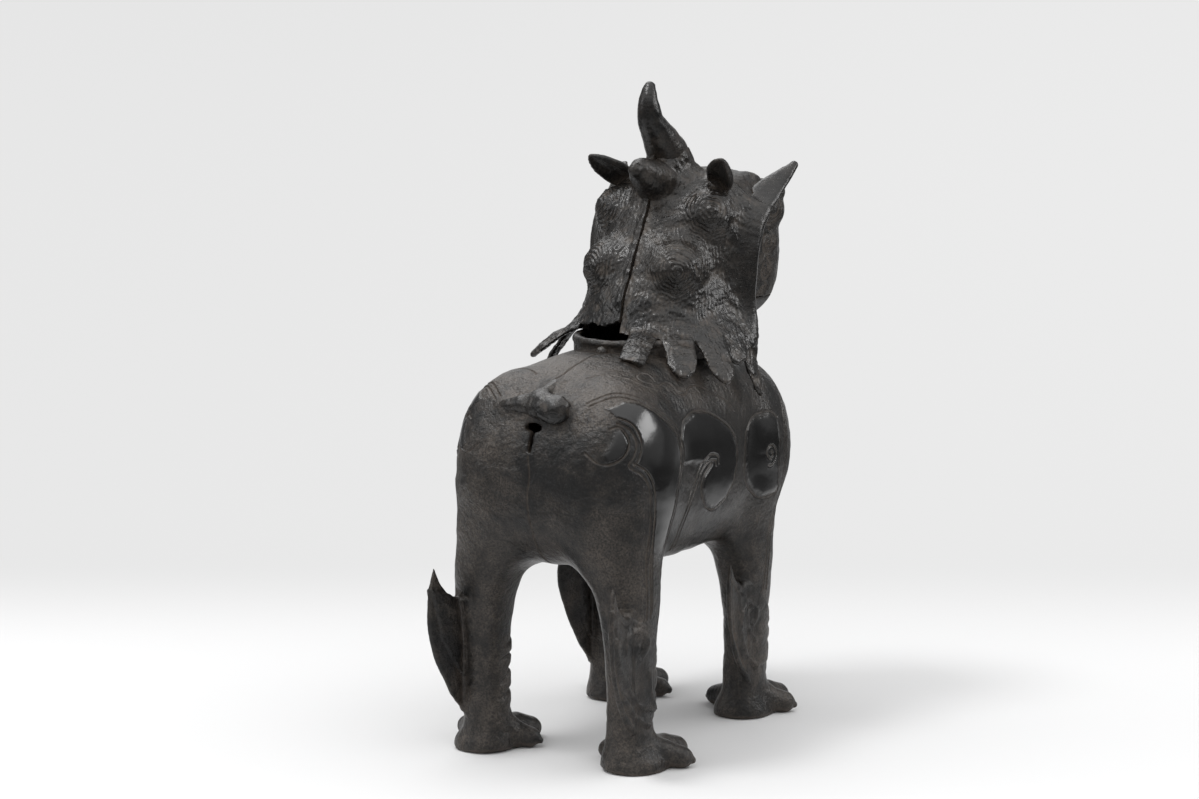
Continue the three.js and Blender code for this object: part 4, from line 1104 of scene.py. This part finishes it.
def face_shell(q):
    """The face with its hollow, its open mouth and its upper teeth."""
    x, y, z = q
    across = np.abs(x)
    shell = trim(face_form(q), -skull_inside(q, FACE_WALL), 0.6)
    mouth = common(across - MOUTH_HALF, z - MOUTH_TOP, y - SKULL[0][1])
    shell = trim(shell, -mouth, 1.2)
    for tx, drop, radius in UPPER_TEETH:
        back = -76.5 + 0.012 * tx * tx
        root, tip = (tx, back, MOUTH_TOP + 2, radius), (tx, back - 0.6, MOUTH_TOP - drop, radius * 0.3)
        shell = melt(shell, stroke((across, y, z), (root, tip)), 0.6)
    return common(shell, JAW_TOP + JOINT_ROOM - z, y - FACE_JOINT + JOINT_ROOM)


# The head's hinge: its place, how far it opens and the room that the jaw then leaves over the chest.
HINGE_Y, HINGE_Z, HINGE_OPEN, JAW_ROOM = -59.5, 187.0, math.radians(60.0), 1.0


def chest_when_open(q):
    """The body as the fully opened head meets it, in the head's own frame."""
    back, up = q[1] + HEAD_SHIFT[1] - HINGE_Y, q[2] + HEAD_SHIFT[2] - HINGE_Z
    cosine, sine = math.cos(HINGE_OPEN), math.sin(HINGE_OPEN)
    return body_form((q[0], HINGE_Y + back * cosine - up * sine, HINGE_Z + back * sine + up * cosine))


def jaw_form(q):
    """The lower jaw with its lip, fangs and tongue."""
    x, y, z = q
    head = (np.abs(x), y, z)
    outer = melt(pebble(q, *SKULL, SKULL_POWER), pebble(q, *CHIN), 4.0)
    shell = common(outer, z - JAW_TOP, JAW_FOOT - z)
    hollow = np.maximum(skull_inside(q, FACE_WALL), JAW_FLOOR - z)
    shell = trim(shell, -hollow, 0.8)
    shell = melt(shell, stroke(head, JAW_LIP), 1.5)
    shell = melt(shell, blade(q, TONGUE, (1, 0, 0)), 1.0)
    for tx, rise in LOWER_TEETH:
        back = -74.5 + 0.01 * tx * tx
        shell = melt(shell, stroke(head, ((tx, back, 12, 2.0), (tx, back - 0.5, 13 + rise, 0.6))), 0.5)
    return common(shell, z - MOUTH_TOP + 2 * JOINT_ROOM, JAW_ROOM - chest_when_open(q),
                  y - FACE_JOINT + JOINT_ROOM)


HORN = (
    (0, -23, 66, 12.0), (0, -22.5, 78.5, 10.2), (0, -17.5, 84.5, 9.2), (0, -13.5, 88.5, 8.2),
    (0, -8.6, 92.8, 6.9), (0, -4.2, 97.4, 6.0), (0, -2, 102.7, 5.3), (0, -1.8, 106.8, 4.5),
    (0, -2.6, 110.6, 3.4), (0, -3.3, 112.9, 2.6))
# Heights between which the horn's tip turns more polished.
HORN_TIP = (96.0, 108.0)
KNOB = ((0, -16, 62, 11), (0, -9, 69, 9.8), (0, -2, 71.8, 8.2), (0, 3.2, 74.2, 6.5), (0, 5.2, 75, 5.6))
KNOB_BALL = ((0, 10.4, 75.6), (3.3, 3.3, 3.3))
EAR = (
    (20, -33, 62, 3.4, 3.2), (23.2, -27.8, 66.5, 5.4, 3.6), (27.5, -20.5, 71.7, 7.2, 3.5),
    (31.3, -14.4, 75.6, 6, 3.0), (33.6, -10.8, 78.2, 3.8, 2.3), (34.6, -8.8, 79.6, 1.8, 1.4))
EAR_ACROSS, EAR_FACE = (0.857, -0.166, -0.487), (-0.272, 0.656, -0.703)
# The ear's hollow: how far its middle lies out of the leaf, its share of the width and its half depth.
EAR_HOLLOW = (3.3, 0.74, 3.2)
CROWN_SEAT = 1.0


def crown_seat(q):
    """The inside of the head, which the horn, knob and ears stop short of."""
    return np.minimum(mane_form(q, CROWN_SEAT), skull_inside(q, CROWN_SEAT))


def horn_form(q):
    return np.maximum(stroke(q, smooth_stations(HORN, 1.2)), -crown_seat(q))


def knob_form(q):
    knob = melt(stroke(q, smooth_stations(KNOB, 1.5)), pebble(q, *KNOB_BALL), 0.8)
    return np.maximum(knob, -crown_seat(q))


def ear_form(q):
    """A leaf cupped on the side that looks back and down."""
    stations = smooth_stations(EAR)
    out, share, depth = EAR_HOLLOW
    hollow = [(*(np.array(s[:3]) + out * np.array(EAR_FACE)), s[3] * share, depth) for s in stations[3:-1]]
    cupped = trim(blade(q, stations, EAR_ACROSS), -blade(q, hollow, EAR_ACROSS), 0.8)
    return np.maximum(cupped, -crown_seat(q))


# Chased hair: spacing of its rings and where they fade, its depth, and the rise of the bosses' peaks.
RING_SPACING, RING_FADE, HAIR_DEPTH, PEAK_RISE = 1.8, (12.0, 17.0), 0.3, 1.1
STROKE_SPACING = {"left": 2.6, "right": 2.0}


def chased(points, side, sign):
    """Chased hair outside the mane: rings round each boss and upright strokes elsewhere."""
    x, y, z = points.T
    outside = swell(mane_skin(points.T, sign), -1.2, -0.4)
    peaks = np.array(BOSS_PEAKS) * (sign, 1, 1)
    nearest = np.minimum(*[np.linalg.norm(points - peak, axis=1) for peak in peaks])
    ringed = 1 - swell(nearest, *RING_FADE)
    wander = 1.9 * ripple(points, 9.0, 11)
    rings = np.sin(2 * math.pi * nearest / RING_SPACING + wander)
    around = np.arctan2(x, y + 16.0) * 38.0
    upright = np.sin(2 * math.pi * (around + 0.12 * z) / STROKE_SPACING[side] + 1.2 * wander)
    broken = np.clip(0.6 + 0.5 * ripple(points, 5.0, 12), 0.1, 1.2)
    hair = ringed * rings + (1 - ringed) * 0.4 * upright
    height = HAIR_DEPTH * broken * hair + PEAK_RISE * np.exp(-(nearest / 2.0) ** 2)
    height += 0.1 * ripple(points, 2.0, 13, 40) + 0.2 * ripple(points, 8.0, 14)
    at_parting = 1 - swell(np.abs(x), 0.5, 5.0)
    height += at_parting * ((0.9 + 0.3 * ripple(points, 5.0, 15)) if side == "left" else -0.4)
    clear = swell(lip_form((x * sign, y, z), side), 0.5, 4.0)
    return outside * (0.15 + 0.85 * clear) * height


# Smaller castings of the body.
FINS = {
    "rear": (
        44.3,
        (
            (76, 19), (84, 27), (89, 34.5), (94.5, 44), (97.5, 52), (99.2, 62), (99.5, 70), (98.3, 80),
            (96, 88), (93, 81.5), (89.5, 77), (86, 73.5), (82, 72), (76, 73))),
    "front": (
        42.7,
        (
            (-37, 19), (-29, 27), (-24, 34), (-18.5, 43), (-15, 51), (-12.4, 60), (-11.8, 67), (-13.2, 73),
            (-16, 79), (-19, 74), (-22.5, 70.5), (-26.5, 67.5), (-30, 66), (-37, 67)))}
FIN_HALF_THICKNESS, FIN_FILLET, FIN_ROOT = 1.6, 4.0, 1.0
FIN_FLARE, FIN_STRAIGHT = 0.008, 6.0
# The collar's foot, and its rolled rim: inset, drop and radius.
COLLAR_FOOT, COLLAR_RIM = 168.0, (0.6, 1.6, 1.5)
LUG_BALL, LUG_NECK = ((0, 25.6, 180), (2.7, 2.4, 2.6)), ((0, 22, 180, 1.5), (0, 25, 180, 1.9))
PLATE_HALF, PLATE_HEIGHT, PLATE_HALF_THICKNESS = (25.0, 45.0), 86.5, 1.2


def fin_outline(end):
    """A fin's outline, rounded between its corners but sharp at its tip."""
    corners = FINS[end][1]
    tip = max(range(len(corners)), key=lambda i: corners[i][1])
    return [tuple(c) for c in np.vstack((through(corners[:tip + 1], 2.0), through(corners[tip:], 2.0)[1:]))]


def fin_bow(y, corners):
    """How far a fin flares outwards behind its straight part."""
    return FIN_FLARE * np.maximum(y - corners[0][0] - FIN_STRAIGHT, 0) ** 2


def fin_plate(p, end, corners):
    """A fin's thin plate, which flares outwards behind the leg."""
    x, y, z = p
    edge = outline(y, z, corners)
    middle = FINS[end][0] + fin_bow(y, corners)
    half = FIN_HALF_THICKNESS * (0.55 + 0.45 * swell(-edge, 0.0, 6.0))
    return trim(edge, np.abs(x - middle) - half, 1.0)


def fin_form(p, end, corners):
    """A fin that runs into the leg's skin."""
    plate, limb = fin_plate(p, end, corners), limb_form(p, LEGS[end])
    fin = melt(limb, plate, FIN_FILLET)
    return common(fin, -limb - FIN_ROOT, plate - FIN_FILLET + 0.4)


def tail_form(p):
    """The tail's two lobes, which rise out of their mound on the rump."""
    lobes = trim(tail_lobes(p), -vent_form(p), 0.5)
    return np.maximum(lobes, -body_form(p) - 1.0)


def collar_form(p):
    """The neck collar: an oval ring with a rolled rim."""
    x, y, z = p
    outer, inner = (pebble((x, y), (0.0, NECK_Y), half) for half in (COLLAR_HALF, COLLAR_BORE))
    ring = trim(trim(outer, -inner, 0.6), z - NECK_Z, 0.8)
    inset, drop, radius = COLLAR_RIM
    bead = np.sqrt((outer + inset) ** 2 + (z - NECK_Z + drop) ** 2) - radius
    return np.maximum(melt(ring, bead, 0.8), COLLAR_FOOT - z)


def lug_form(p):
    return melt(pebble(p, *LUG_BALL), stroke(p, LUG_NECK), 0.8)


def plate_form(p):
    """The belly plate, its edge left rough from the solder."""
    x, y, z = p
    edge = pebble((x, y), (0.0, 0.0), PLATE_HALF)
    edge = edge + 0.5 * np.sin(x * 0.8 + y * 0.5) + 0.4 * np.sin(y * 1.3 - x * 0.4)
    return trim(edge, np.abs(z - PLATE_HEIGHT) - PLATE_HALF_THICKNESS, 0.8)


def weather(piece, form, height, polish=0.4, brown=0.9, worn=0.0):
    """Displaces a piece along its form's slope, and notes where it is recessed, worn and polished."""
    points = points_of(piece)
    raised = height(points)
    move_points(piece, points + unit(probe(form, points)[1]) * raised[:, None])
    paint(piece, recess=np.clip(-raised * 1.6, 0, 1), worn=worn, polish=polish, brown=brown)


def cast_grain(points):
    return 0.06 * ripple(points, 3.2, 21, 40) + 0.14 * ripple(points, 9.0, 22)


def smooth_grain(points):
    return 0.1 * ripple(points, 9.0, 23)


def lifted(piece):
    """Puts a piece of the head in its place over the collar."""
    move_points(piece, points_of(piece) + HEAD_SHIFT)
    return piece


# Boxes that the skins are sampled in, as low and high corners. A leg's lies round the leg's own y.
BOXES = {
    "trunk": ((-62, -96, LEG_CUT - 6), (62, 96, 184)),
    "leg": ((10, -40, -2), (66, 30, LEG_CUT + 4)),
    "tail": ((-34, 56, 140), (34, 98, 178)),
    "neck_collar": ((-36, -60, 166), (36, 28, 188)),
    "collar_lug": ((-4, 20, 176), (4, 30, 184)),
    "belly_plate": ((-30, -50, 83), (30, 50, 90)),
    "mane_left": ((0, -64, -32), (66, 52, 82)),
    "mane_right": ((-66, -64, -32), (0, 52, 82)),
    "face_mask": ((-50, -92, 12), (50, -27, 80)),
    "lower_jaw": ((-46, -84, 2), (46, -27, 24)),
    "horn": ((-24, -50, 58), (24, 12, 118)),
    "crown_knob": ((-20, -32, 44), (20, 20, 86)),
    "ear": ((6, -46, 50), (46, -2, 86)),
}
# How coarsely some pieces are drawn, as shares of the mesh pitch.
FIN_PITCH, MANE_PITCH, FACE_PITCH, CROWN_PITCH = 0.8, 1.15, 0.9, 0.8


def rib_lines(end):
    """Samples of the ribs on one leg and its fin, on the side where x is positive."""
    corners = fin_outline(end)

    def skin(p):
        return melt(limb_form(p, LEGS[end]), fin_plate(p, end, corners), FIN_FILLET)

    return np.vstack([settle(through(rib, 0.5), skin, LINE_PULL, 3) for rib in RIBS[end]])


class BURNER_OT_body(bpy.types.Operator):
    """Casts the two halves of the trunk and the four legs, with their incised scrolls"""
    bl_idname = "burner.body"
    bl_label = "Body and legs"

    def execute(self, context):
        sizes = sizes_of(context)
        lines = body_lines()
        self.trunk(context, sizes, lines)
        for end, leg in LEGS.items():
            self.legs(context, sizes, lines, end, leg)
        return {"FINISHED"}

    def trunk(self, context, sizes, lines):
        def shell(p):
            return trim(body_form(p), -cavity_form(p, sizes["wall"]), 0.6)

        skin = mesh_object("trunk", *polygonise(shell, *BOXES["trunk"], sizes["trunk_pitch"], True))
        dress(skin, body_form, sizes, lines, inlaid(RUMP_RIDGE, body_form), RUMP_RIDGE_RISE)
        cut(skin, (0, 0, LEG_CUT), (0, 0, 1))
        for side, sign in SIDES:
            half = skin.copy()
            half.data = skin.data.copy()
            half.name = half.data.name = f"trunk_{side}_cast"
            context.scene.collection.objects.link(half)
            cut(half, (0, 0, 0), (sign, 0, 0))
            fit(context, half, "body", "rubbed_bronze", f"trunk_{side}")
        bpy.data.objects.remove(skin)

    def legs(self, context, sizes, lines, end, leg):
        def form(p):
            return limb_form(p, leg)

        low, high = ((x, leg["y"] + y, z) for x, y, z in BOXES["leg"])
        points, faces = polygonise(form, low, high, sizes["pitch"])
        ribs = rib_lines(end)
        ribs = ribs[fin_plate(ribs.T, end, fin_outline(end)) > RIB_CLEARANCE]
        for side, sign in SIDES:
            piece = handed(f"leg_{end}_{side}", points, faces, sign)
            dress(piece, form, sizes, lines, ribs * (sign, 1, 1))
            cut(piece, (0, 0, LEG_CUT), (0, 0, -1))
            fit(context, piece, "body", "rubbed_bronze", f"leg_{end}_{side}")


class BURNER_OT_fins(bpy.types.Operator):
    """Casts the four upright fins behind the legs"""
    bl_idname = "burner.fins"
    bl_label = "Fins"

    def execute(self, context):
        pitch = sizes_of(context)["pitch"] * FIN_PITCH
        for end in FINS:
            corners = fin_outline(end)
            ys = [c[0] for c in corners]
            low, high = (32, min(ys) - 8, 12), (58, max(ys) + 2, 94)
            points, faces = polygonise(lambda p: fin_form(p, end, corners), low, high, pitch)
            edge = outline(points[:, 1], points[:, 2], corners)
            outward = swell(points[:, 0] - FINS[end][0] - fin_bow(points[:, 1], corners), 0.0, 1.0)
            rib = outward * np.exp(-(distance_to(rib_lines(end), points) / RIB_HALF_WIDTH) ** 2)
            free = outward * swell(limb_form(points.T, LEGS[end]), 0.5, 2.5)
            grooves = free * np.exp(-((edge + 3.0) / 0.8) ** 2)
            bead = free * np.exp(-((edge + 1.2) / 0.8) ** 2)
            for side, sign in SIDES:
                piece = handed(f"fin_{end}_{side}", points, faces, sign)
                weather(piece, lambda p: fin_form((p[0] * sign, p[1], p[2]), end, corners),
                        lambda p: body_relief(p) + 0.5 * (bead - grooves) * (1 - rib) + RIB_RISE * rib,
                        body_polish(points), body_brown(points), RIB_WEAR * rib)
                fit(context, piece, "body", "cast_bronze", f"fin_{end}_{side}")
        return {"FINISHED"}


class BURNER_OT_small_castings(bpy.types.Operator):
    """Casts the tail, the neck collar with its lug, and the belly plate"""
    bl_idname = "burner.small_castings"
    bl_label = "Tail, collar and plate"

    def execute(self, context):
        pitch = sizes_of(context)["pitch"]
        for name, form, slot, height, polish in (
                ("tail", tail_form, "cast_bronze", self.tail_grain, 0.6),
                ("neck_collar", collar_form, "cast_bronze", cast_grain, 0.4),
                ("collar_lug", lug_form, "cast_bronze", smooth_grain, 0.4),
                ("belly_plate", plate_form, "inner_bronze", cast_grain, 0.4)):
            piece = cast(name, form, pitch)
            weather(piece, form, height, polish)
            fit(context, piece, "body", slot, name)
        return {"FINISHED"}

    def tail_grain(self, points):
        """Rough and pitted on the right lobe, smoother on the left."""
        rough = 0.3 + 0.7 * swell(-points[:, 0], -4.0, 5.0)
        clear = swell(trunk_form(points.T), 0.2, 3.0)
        return clear * rough * (0.07 * ripple(points, 2.8, 31, 40) + 0.3 * ripple(points, 7.0, 32))


class BURNER_OT_mane(bpy.types.Operator):
    """Casts the two sides of the mane with their bosses, locks, tufts and chased hair"""
    bl_idname = "burner.mane"
    bl_label = "Mane"

    def execute(self, context):
        pitch = sizes_of(context)["pitch"] * MANE_PITCH
        for side, sign in SIDES:
            def form(q):
                return mane_side(q, side, sign)

            piece = cast(f"mane_{side}", form, pitch)
            refine(piece, mane_skin(points_of(piece).T, sign) > -1.0)
            weather(piece, form, lambda p: chased(p, side, sign), polish=0.6, brown=0.5)
            cut(piece, (sign * PARTING_HALF, 0, 0), (sign, 0, 0))
            fit(context, lifted(piece), "head", "cast_bronze", f"mane_{side}", f"crown_tuft_{side}")
        return {"FINISHED"}


class BURNER_OT_face(bpy.types.Operator):
    """Casts the face and the lower jaw"""
    bl_idname = "burner.face"
    bl_label = "Face and jaw"

    def execute(self, context):
        pitch = sizes_of(context)["pitch"] * FACE_PITCH
        face = cast("face_mask", face_shell, pitch, True)
        weather(face, face_shell, self.curls, polish=0.32, brown=0.7)
        fit(context, lifted(face), "head", "cast_bronze", "face_mask")
        jaw = cast("lower_jaw", jaw_form, pitch, True)
        weather(jaw, jaw_form, smooth_grain, polish=0.45, brown=0.6)
        fit(context, lifted(jaw), "head", "cast_bronze", "lower_jaw")
        return {"FINISHED"}

    def curls(self, points):
        """Spiral grooves on the curls at the sides of the face."""
        lines = []
        for x, y, z, radius in CHEEK_SPIRALS:
            line = settle(spiral((x, y, z), CHEEK_WAY, (0, 0, 1), radius, CHEEK_TURNS), face_form, 6.0, 4)
            lines += [line, line * (-1, 1, 1)]
        samples = np.vstack([through(line) for line in lines])
        half_width, depth = CHEEK_GROOVE
        return cast_grain(points) - depth * groove(distance_to(samples, points, LINE_REACH), half_width)[0]


class BURNER_OT_crown(bpy.types.Operator):
    """Casts the horn, the knob behind it and the two ears"""
    bl_idname = "burner.crown"
    bl_label = "Horn, knob and ears"

    def execute(self, context):
        pitch = sizes_of(context)["pitch"] * CROWN_PITCH
        for name, form, slot in (
                ("horn", horn_form, "rubbed_bronze"),
                ("crown_knob", knob_form, "cast_bronze")):
            piece = cast(name, form, pitch)
            tip = swell(points_of(piece)[:, 2], *HORN_TIP)
            weather(piece, form, cast_grain, polish=0.4 + 0.2 * tip, brown=0.55 - 0.15 * tip)
            fit(context, lifted(piece), "head", slot, name)
        points, faces = polygonise(ear_form, *BOXES["ear"], pitch)
        for side, sign in SIDES:
            piece = handed(f"ear_{side}", points, faces, sign)
            weather(piece, lambda q: ear_form((q[0] * sign, q[1], q[2])), smooth_grain,
                    polish=0.4, brown=0.6)
            fit(context, lifted(piece), "head", "cast_bronze", f"ear_{side}")
        return {"FINISHED"}


# Lamps: name, metres to the right, towards the camera and up, size, watts, and whether matt things see it.
LAMPS = (
    ("Key", -1.4, 0.5, 3.2, (0.8, 0.8), 40.0, True),
    ("Right card", 1.0, 0.0, 0.56, (0.5, 0.3), 3.3, False),
    ("Left card", -1.1, 0.2, 0.6, (0.4, 0.4), 1.5, False),
    ("Top card", -0.5, -1.1, 1.7, (1.3, 0.8), 11.0, False))
LAMPS_AIM = 0.15
# The sweep in metres: near end, start of its curve, the curve's radius, height and half width.
SWEEP_NEAR, SWEEP_CURVE, SWEEP_RADIUS, SWEEP_TOP, SWEEP_HALF = -6.0, 2.2, 1.2, 6.0, 7.0
SENSOR_WIDTH = 36.0
PAPER_ROUGHNESS, PAPER_SHEEN = 0.9, 0.1
# Levels of light, each as two places in metres and the levels there: the grey that the camera sees across
# the sheet and up it, and the studio that reflections see at the sides, behind and near the burner.
GREY_ACROSS, GREY_UP = (-0.8, 0.8, 0.757, 0.787), (0.0, 1.2, 0.045, -0.02)
STUDIO_ASIDE, STUDIO_BEHIND, STUDIO_NEAR = (0.7, 1.6, 1.0, 0.25), (0.5, 1.6, 0.1, 0.8), (0.3, 0.6, 0.8, 0.1)
# Where the lit paper gives way to those levels, all round and behind the burner.
PAPER_FADE_ROUND, PAPER_FADE_BEHIND = (0.3, 0.7), (0.1, 0.4)
# The sky: two slopes of the way up and the brightness there, and the level that the camera sees.
SKY, SKY_SEEN = (0.2, 0.85, 0.28, 1.0), 0.8


class BURNER_OT_stage(bpy.types.Operator):
    """Sets up the pale sweep, the soft studio light and the camera"""
    bl_idname = "burner.stage"
    bl_label = "Stage"

    def execute(self, context):
        stage = context.scene.burner_stage
        towards = Vector((-math.sin(stage.azimuth), math.cos(stage.azimuth), 0))
        across = Vector((-towards.y, towards.x, 0))
        self.sweep(context, stage, towards, across)
        self.lamps(context, towards, across)
        self.world(context)
        self.camera(context, stage, towards)
        context.scene.view_settings.view_transform = "Standard"
        return {"FINISHED"}

    def sweep(self, context, stage, towards, across):
        """A floor that curves up behind the burner."""
        profile = [(SWEEP_NEAR, 0.0)]
        for turn in np.linspace(0, math.pi / 2, 24):
            profile.append((SWEEP_CURVE + math.sin(turn) * SWEEP_RADIUS,
                            SWEEP_RADIUS - math.cos(turn) * SWEEP_RADIUS))
        profile.append((SWEEP_CURVE + SWEEP_RADIUS, SWEEP_TOP))
        points, faces = [], []
        for reach, rise in profile:
            for side in (-SWEEP_HALF, SWEEP_HALF):
                points.append(tuple(across * side - towards * reach + Vector((0, 0, rise))))
        for i in range(0, 2 * len(profile) - 2, 2):
            faces.append((i, i + 1, i + 3, i + 2))
        mesh = bpy.data.meshes.new("sweep")
        mesh.from_pydata(points, [], faces)
        mesh.polygons.foreach_set("use_smooth", np.ones(len(faces), bool))
        made = bpy.data.objects.new("sweep", mesh)
        context.scene.collection.objects.link(made)
        made.data.materials.append(self.paper(stage, towards, across))

    def paper(self, stage, towards, across):
        """Matt pale paper. Far off, the camera sees an even backdrop and reflections see a dark studio."""
        made = bpy.data.materials.new("Sweep paper")
        made.use_nodes = True
        tree = made.node_tree
        shader = tree.nodes["Principled BSDF"]
        shader.inputs["Base Color"].default_value = rgba(stage.floor)
        shader.inputs["Roughness"].default_value = PAPER_ROUGHNESS
        shader.inputs["Specular IOR Level"].default_value = PAPER_SHEEN
        where = node(tree, "NewGeometry").outputs["Position"]
        away = node(tree, "VectorMath", {0: where}, operation="LENGTH").outputs["Value"]
        sideways = node(tree, "VectorMath", {0: where, 1: across}, operation="DOT_PRODUCT").outputs["Value"]
        rise = node(tree, "SeparateXYZ", {0: where}).outputs["Z"]
        fall = band(tree, rise, *GREY_UP)
        grey = maths(tree, "ADD", band(tree, sideways, *GREY_ACROSS), fall)
        behind = node(tree, "VectorMath", {0: where, 1: -towards}, operation="DOT_PRODUCT").outputs["Value"]
        wide = band(tree, maths(tree, "ABSOLUTE", sideways), *STUDIO_ASIDE)
        backdrop = maths(tree, "MULTIPLY", band(tree, behind, *STUDIO_BEHIND), wide)
        studio = maths(tree, "MAXIMUM", band(tree, away, *STUDIO_NEAR), backdrop)
        seen = node(tree, "LightPath").outputs["Is Camera Ray"]
        level = node(tree, "Mix", {0: seen, 2: studio, 3: grey}, data_type="FLOAT").outputs[0]
        glow = node(tree, "Emission", {"Color": grey_of(tree, level)})
        fade_behind = band(tree, behind, *PAPER_FADE_BEHIND)
        share = maths(tree, "MAXIMUM", band(tree, away, *PAPER_FADE_ROUND), fade_behind)
        mixed = node(tree, "MixShader", {0: share, 1: shader.outputs[0], 2: glow.outputs[0]})
        tree.links.new(mixed.outputs[0], tree.nodes["Material Output"].inputs["Surface"])
        return made

    def lamps(self, context, towards, across):
        """A large soft key overhead, and cards at the sides that only show as highlights."""
        middle = Vector((0, 0, LAMPS_AIM))
        for name, right, near, up, size, watts, lights_floor in LAMPS:
            data = bpy.data.lights.new(name, "AREA")
            data.shape, data.energy = "RECTANGLE", watts
            data.size, data.size_y = size
            lamp = bpy.data.objects.new(name, data)
            lamp.location = across * right + towards * near + Vector((0, 0, up))
            lamp.rotation_euler = (middle - lamp.location).to_track_quat("-Z", "Y").to_euler()
            lamp.visible_diffuse = lights_floor
            context.scene.collection.objects.link(lamp)

    def world(self, context):
        """A studio that is bright overhead and dark round about; the camera sees it pale."""
        world = context.scene.world or bpy.data.worlds.new("Studio")
        context.scene.world = world
        world.use_nodes = True
        tree = world.node_tree
        way = node(tree, "TexCoord").outputs["Generated"]
        ambient = context.scene.burner_stage.ambient
        above = band(tree, node(tree, "SeparateXYZ", {0: way}).outputs["Z"], *SKY)
        seen = node(tree, "LightPath").outputs["Is Camera Ray"]
        level = node(tree, "Mix", {0: seen, 2: above, 3: SKY_SEEN / ambient}, data_type="FLOAT").outputs[0]
        back = tree.nodes["Background"]
        tree.links.new(grey_of(tree, level), back.inputs["Color"])
        back.inputs["Strength"].default_value = ambient

    def camera(self, context, stage, towards):
        data = bpy.data.cameras.new("Camera")
        data.lens, data.sensor_width = stage.lens, SENSOR_WIDTH
        data.shift_x, data.shift_y = stage.shift_x, stage.shift_y
        made = bpy.data.objects.new("Camera", data)
        flat = math.cos(stage.elevation) * stage.distance
        height = stage.aim + math.sin(stage.elevation) * stage.distance
        made.location = towards * flat + Vector((0, 0, height))
        facing = Vector((0, 0, stage.aim)) - made.location
        made.rotation_euler = facing.to_track_quat("-Z", "Y").to_euler()
        context.scene.collection.objects.link(made)
        context.scene.camera = made


class BURNER_OT_frame_finish(bpy.types.Operator):
    """Gives the frame's own pieces that still show their finish"""
    bl_idname = "burner.frame_finish"
    bl_label = "Finish the frame's pieces"

    def execute(self, context):
        slots = {entry["node"]: entry["material_slot"] for entry in frame["record"]["subparts"]}
        for name, piece in frame["nodes"].items():
            if not piece.hide_render:
                piece.data.materials.clear()
                piece.data.materials.append(finish_of(context, slots[name]))
        return {"FINISHED"}


class BURNER_PT_panel(bpy.types.Panel):
    """Lists the burner's pieces"""
    bl_idname = "BURNER_PT_panel"
    bl_label = "Burner"
    bl_space_type = "VIEW_3D"
    bl_region_type = "UI"
    bl_category = "Burner"

    def draw(self, context):
        for operator in PIECES:
            self.layout.operator(operator.bl_idname)
        for group in ("burner_sizes", "burner_colours", "burner_stage"):
            settings = getattr(context.scene, group)
            for name in settings.__annotations__:
                self.layout.prop(settings, name)


PIECES = (
    BURNER_OT_body, BURNER_OT_fins, BURNER_OT_small_castings, BURNER_OT_mane, BURNER_OT_face,
    BURNER_OT_crown, BURNER_OT_frame_finish, BURNER_OT_stage)
SETTINGS = (("burner_sizes", BurnerSizes), ("burner_colours", BurnerColours), ("burner_stage", BurnerStage))


def register():
    for _, group in SETTINGS:
        bpy.utils.register_class(group)
    for name, group in SETTINGS:
        setattr(bpy.types.Scene, name, PointerProperty(type=group))
    for item in PIECES + (BURNER_PT_panel,):
        bpy.utils.register_class(item)


def unregister():
    for item in reversed(PIECES + (BURNER_PT_panel,)):
        bpy.utils.unregister_class(item)
    for name, group in reversed(SETTINGS):
        delattr(bpy.types.Scene, name)
        bpy.utils.unregister_class(group)


def main():
    register()
    for operator in PIECES:
        getattr(bpy.ops.burner, operator.bl_idname.split(".")[1])()


if __name__ == "__main__":
    main()
